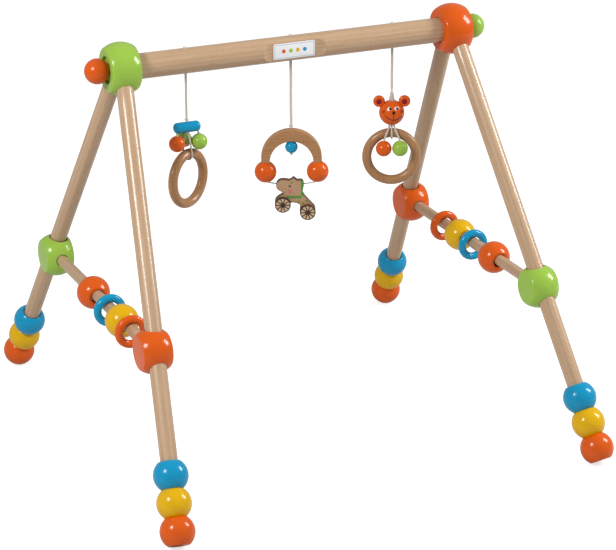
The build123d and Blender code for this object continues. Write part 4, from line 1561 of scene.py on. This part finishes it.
class MakeMiddleToy(bpy.types.Operator):
    """Make the arch with its balls and the bead under it"""

    bl_idname = "gym.make_middle_toy"
    bl_label = "Middle toy"

    def execute(self, context):
        self.arch()
        self.arch_balls()
        self.drop_bead()
        toy_knot("middle", 6.0, 2.3)
        return {"FINISHED"}

    def arch(self):
        """The arch in its own shape, its grain across it."""
        top = centre_of("top_bar").z - shapes().arch_drop
        turned = toy_frame((0, 0, top), shapes().toy_turn)
        mesh = cad_copy("arch")
        mesh.transform(turned.inverted())
        remember_grain(mesh)
        look = {"spacing": 0.0032, "fleck": 0.9, "lacquer": 0.1, "tone": 1.08, "kind": "warm"}
        wood = wood_material("beech arch", turn=(0, math.radians(90), 0), **look)
        piece("wooden_arch", mesh, wood, "middle_toy", ["arch"], turned, 30)

    def arch_balls(self):
        """A ball under each leg of the arch."""
        low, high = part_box("arch_balls")
        out = shapes().arch_leg_out
        radius = (high.x - low.x) / 2 - out * math.cos(shapes().toy_turn)
        ball = lathe(drilled_ball(radius / MM, 0, bottom_hole=0.9), segments=96)
        line = toy_frame((0, 0, low.z + radius), shapes().toy_turn)
        places = [line @ Matrix.Translation((x, 0, 0)) for x in (-out, out)]
        mesh = pair_of(ball, places, paint("orange"))
        painted_piece("arch_balls_turned", mesh, "orange", "middle_toy", "arch_balls")

    def drop_bead(self):
        """The bead under the arch's crown, with its cord and the knot below it."""
        node = "blue_drop_bead"
        radius = size_of(node).x / 2
        crown = centre_of("top_bar").z - shapes().arch_drop - shapes().arch_crown
        middle = Vector((0, 0, crown - radius * MM))
        bead = lathe(drilled_ball(radius, 1.3, bottom_hole=1.2), segments=72)
        place = toy_frame(middle, shapes().toy_turn)
        painted_piece("blue_bead_turned", bead, "blue", "middle_toy", node, place)
        below = middle - Vector((0, 0, (radius + 1.1) * MM))
        heights = (radius - 0.7, 10, 14, radius + 15.0)
        routes = [
            knot_route(below, 3.6, 1.3),
            [middle + Vector((0, 0, height * MM)) for height in heights],
        ]
        plain_cord("bead_cord", routes, 1.6, "middle_toy", [node], 3.6 * MM, 7)


class MakeHorse(bpy.types.Operator):
    """Make the plywood horse with its burnt edges, and its four wheels"""

    bl_idname = "gym.make_horse"
    bl_label = "Horse"

    def execute(self, context):
        turned = horse_frame()
        flat = cad_copy("horse_body")
        flat.transform(turned.inverted())
        outline = self.outline(flat)
        work = bpy.data.objects.new("work", flat)
        bpy.context.collection.objects.link(work)
        remesh = work.modifiers.new("even", "REMESH")
        remesh.mode = "VOXEL"
        remesh.voxel_size = 0.42 * MM
        smooth = work.modifiers.new("smooth", "SMOOTH")
        smooth.factor = 0.5
        smooth.iterations = 2
        mesh = evaluated_mesh(work)
        bpy.data.objects.remove(work)
        self.burn(mesh, outline)
        piece("painted_horse", mesh, horse_material(), "horse", ["horse_body"], turned, 50)
        for which in ("front", "rear"):
            self.wheels(which)
        return {"FINISHED"}

    def burn(self, mesh, outline):
        """Stores how burnt each point is: all along the edge, and in a thin line round the faces."""
        edge_burn, line_width, line_softness = 0.85, 0.35 * MM, 0.6 * MM
        burn = mesh.attributes.new("burn", "FLOAT", "POINT")
        for point, value in zip(mesh.vertices, burn.data):
            near = outline.find((point.co.x, 0, point.co.z))[2]
            on_face = abs(point.co.y) > (HORSE_HALF - 0.4) * MM
            line = 1 - min(1, max(0, (near - line_width) / line_softness))
            value.value = line if on_face else edge_burn

    def outline(self, mesh):
        """The horse's outline as a search tree of close points in its flat plane."""
        bm = bmesh.new()
        bm.from_mesh(mesh)
        face, spacing, sharp, hole_room = (HORSE_HALF - 0.1) * MM, 0.2 * MM, 0.9, 3.2 * MM
        points = []
        for edge in bm.edges:
            a, b = (v.co for v in edge.verts)
            if min(a.y, b.y) > face and len(edge.link_faces) == 2 and edge.calc_face_angle(0) > sharp:
                steps = max(1, int((b - a).length / spacing))
                points += [a.lerp(b, i / steps) for i in range(steps + 1)]
        bm.free()
        holes = self.axles()
        tree = KDTree(len(points))
        for i, point in enumerate(points):
            flat = Vector((point.x, 0, point.z))
            if all((flat - hole).length > hole_room for hole in holes):
                tree.insert(flat, i)
        tree.balance()
        return tree

    def axles(self):
        """The axle places in the horse's upright frame."""
        back = horse_frame().inverted()
        places = [back @ centre_of(f"horse_{which}_wheels") for which in ("front", "rear")]
        return [Vector((p.x, 0, p.z)) for p in places]

    def wheels(self, which):
        """Two wheels with a rim and a cap, on the axle between them."""
        node = f"horse_{which}_wheels"
        radius, thick, ease = size_of(node).z / 2, 4.0, 0.4
        disc = [(0, 0.0), (radius - ease, 0.0), (radius, ease)]
        disc += [(radius, thick - ease), (radius - ease, thick)]
        disc += [(radius - 1.4, thick), (radius - 1.5, 3.85), (2.3, 3.85)]
        disc += [(2.1, 4.35), (1.7, 4.55), (0, 4.6)]
        wheel = lathe(disc, segments=72)
        axle_half, axle_radius, inner_face = 4.6, 2.0, HORSE_HALF + 0.5
        rod = [(0, -axle_half), (axle_radius, -axle_half), (axle_radius, axle_half), (0, axle_half)]
        axle = lathe(rod, segments=32)
        middle = centre_of(node)
        out = toy_frame((0, 0, 0), shapes().toy_turn) @ Vector((0, -1, 0))
        places = [aim(out * side, middle + out * side * inner_face * MM) for side in (1, -1)]
        mesh = joined([wheel, wheel, axle], places + [aim(out, middle)])
        piece(f"{node}_turned", mesh, wheel_material(), f"{which}_wheels", [node], sharp=40)


class MakeRightToy(bpy.types.Operator):
    """Make the bear's head with its ears, balls, strands and gripping ring"""

    bl_idname = "gym.make_right_toy"
    bl_label = "Right toy"

    def execute(self, context):
        head = centre_of("bear_head")
        turn = shapes().toy_turn
        turned = toy_frame(head, turn)
        radius = size_of("bear_head").z / 2
        mesh = lathe(drilled_ball(radius, 2.6, bottom_hole=2.4), segments=128)
        face = bear_material()
        piece("bear_head_painted", mesh, face, "right_toy", ["bear_head"], turned)
        rounding, half_straight = 2.6, 0.6
        rim = arc((shapes().ear_radius / MM - rounding, half_straight), rounding, 0, 90, 8)
        hollow = [(3.6, 3.0), (2.4, 2.75), (0, 2.7)]
        back = [(0, -rounding - half_straight)] + mirrored(rim[::-1])
        ear = lathe(back + rim + hollow, segments=64)
        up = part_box("bear_ears")[1].z - shapes().ear_radius - head.z
        out = shapes().ear_out
        places = [turned @ Matrix.Translation((x, 0, up)) @ quarter_turn("X") for x in (-out, out)]
        red_spot = ear_material()
        ears = pair_of(ear, places, red_spot)
        piece("bear_ears_painted", ears, red_spot, "right_toy", ["bear_ears"])
        small_balls([("bear_orange_ball", "orange"), ("bear_green_ball", "green")], "right_toy", turn)
        gripping_ring("right_wooden_ring", "right_gripping_ring", turn, "right_ring")
        self.strands(head, turn)
        toy_knot("right", 3.2, 1.3)
        return {"FINISHED"}

    def strands(self, head, turn):
        """The six strands above the head, and the balls' strands and the ring's loop below it."""
        routes = []
        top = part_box("bear_tie_cords")[1]
        centre = Vector((head.x, head.y, 0))
        neck = (size_of("bear_head").z / 2 - 0.6) * MM
        strands, first = 6, 20
        for i in range(strands):
            angle = math.radians(360 / strands * i + first)
            out = Vector((math.cos(angle), math.sin(angle), 0))
            high = centre + out * 0.7 * MM + Vector((0, 0, top.z - 0.3 * MM))
            mid = centre + out * 1.3 * MM + Vector((0, 0, head.z + neck + 6.3 * MM))
            low = centre + out * 2.7 * MM + Vector((0, 0, head.z + neck))
            routes.append([high, mid, low])
        turned = toy_frame(centre, turn)
        ball = centre_of("bear_orange_ball")
        low_end = ball.z + (size_of("bear_orange_ball").z / 2 - 0.7) * MM
        chin = head.z - (size_of("bear_head").z / 2 - 1.0) * MM
        ring_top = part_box("right_gripping_ring")[1].z
        ball_place = turned.inverted() @ ball
        ball_out, ball_ahead = -ball_place.x / MM, -ball_place.y / MM
        for side in (-1, 1):
            points = [
                (side * 2.4, -1.2, chin / MM),
                (side * 4.6, -7.0, ring_top / MM - 1.5),
                (side * 7.6, -8.6, ring_top / MM - 7.0),
                (side * ball_out, -ball_ahead, low_end / MM),
            ]
            routes.append([turned @ (Vector(p) * MM) for p in points])
        tube = Vector((head.x, head.y, ring_top - RING_TUBE * MM))
        routes.append(loop_route(tube, turn, 7.0, 1.0, (chin - tube.z) / MM))
        plain_cord("bear_strands", routes, 2.1, "right_toy", ["bear_tie_cords"], 4.2 * MM, 7)


MAKERS = (
    MakeStage,
    MakeCords,
    MakeTopBar,
    MakeFrames,
    MakeFootBeads,
    MakeSliders,
    MakeKnobs,
    MakeLeftToy,
    MakeMiddleToy,
    MakeHorse,
    MakeRightToy,
)


class GymPanel(bpy.types.Panel):
    """Lists the gym's pieces and settings"""

    bl_idname = "VIEW3D_PT_play_gym"
    bl_label = "Activity play gym"
    bl_space_type = "VIEW_3D"
    bl_region_type = "UI"
    bl_category = "Play Gym"

    def draw(self, context):
        for maker in MAKERS:
            self.layout.operator(maker.bl_idname)
        for group in (context.scene.gym_colours, context.scene.gym_shapes, context.scene.gym_light):
            box = self.layout.box()
            for name in group.__annotations__:
                box.prop(group, name)


SETTINGS = {"gym_colours": GymColours, "gym_shapes": GymShapes, "gym_light": GymLight}


def register():
    """Adds the settings, the operators and the panel."""
    for group in SETTINGS.values():
        bpy.utils.register_class(group)
    for maker in MAKERS:
        bpy.utils.register_class(maker)
    bpy.utils.register_class(GymPanel)
    for name, group in SETTINGS.items():
        setattr(bpy.types.Scene, name, PointerProperty(type=group))


def unregister():
    """Takes the settings, the operators and the panel away."""
    for name in SETTINGS:
        delattr(bpy.types.Scene, name)
    bpy.utils.unregister_class(GymPanel)
    for maker in reversed(MAKERS):
        bpy.utils.unregister_class(maker)
    for group in SETTINGS.values():
        bpy.utils.unregister_class(group)


def main():
    """Makes every piece."""
    register()
    for maker in MAKERS:
        module, name = maker.bl_idname.split(".")
        result = getattr(getattr(bpy.ops, module), name)()
        if result != {"FINISHED"}:
            raise RuntimeError(f"{maker.bl_label} did not finish")


if __name__ == "__main__":
    main()
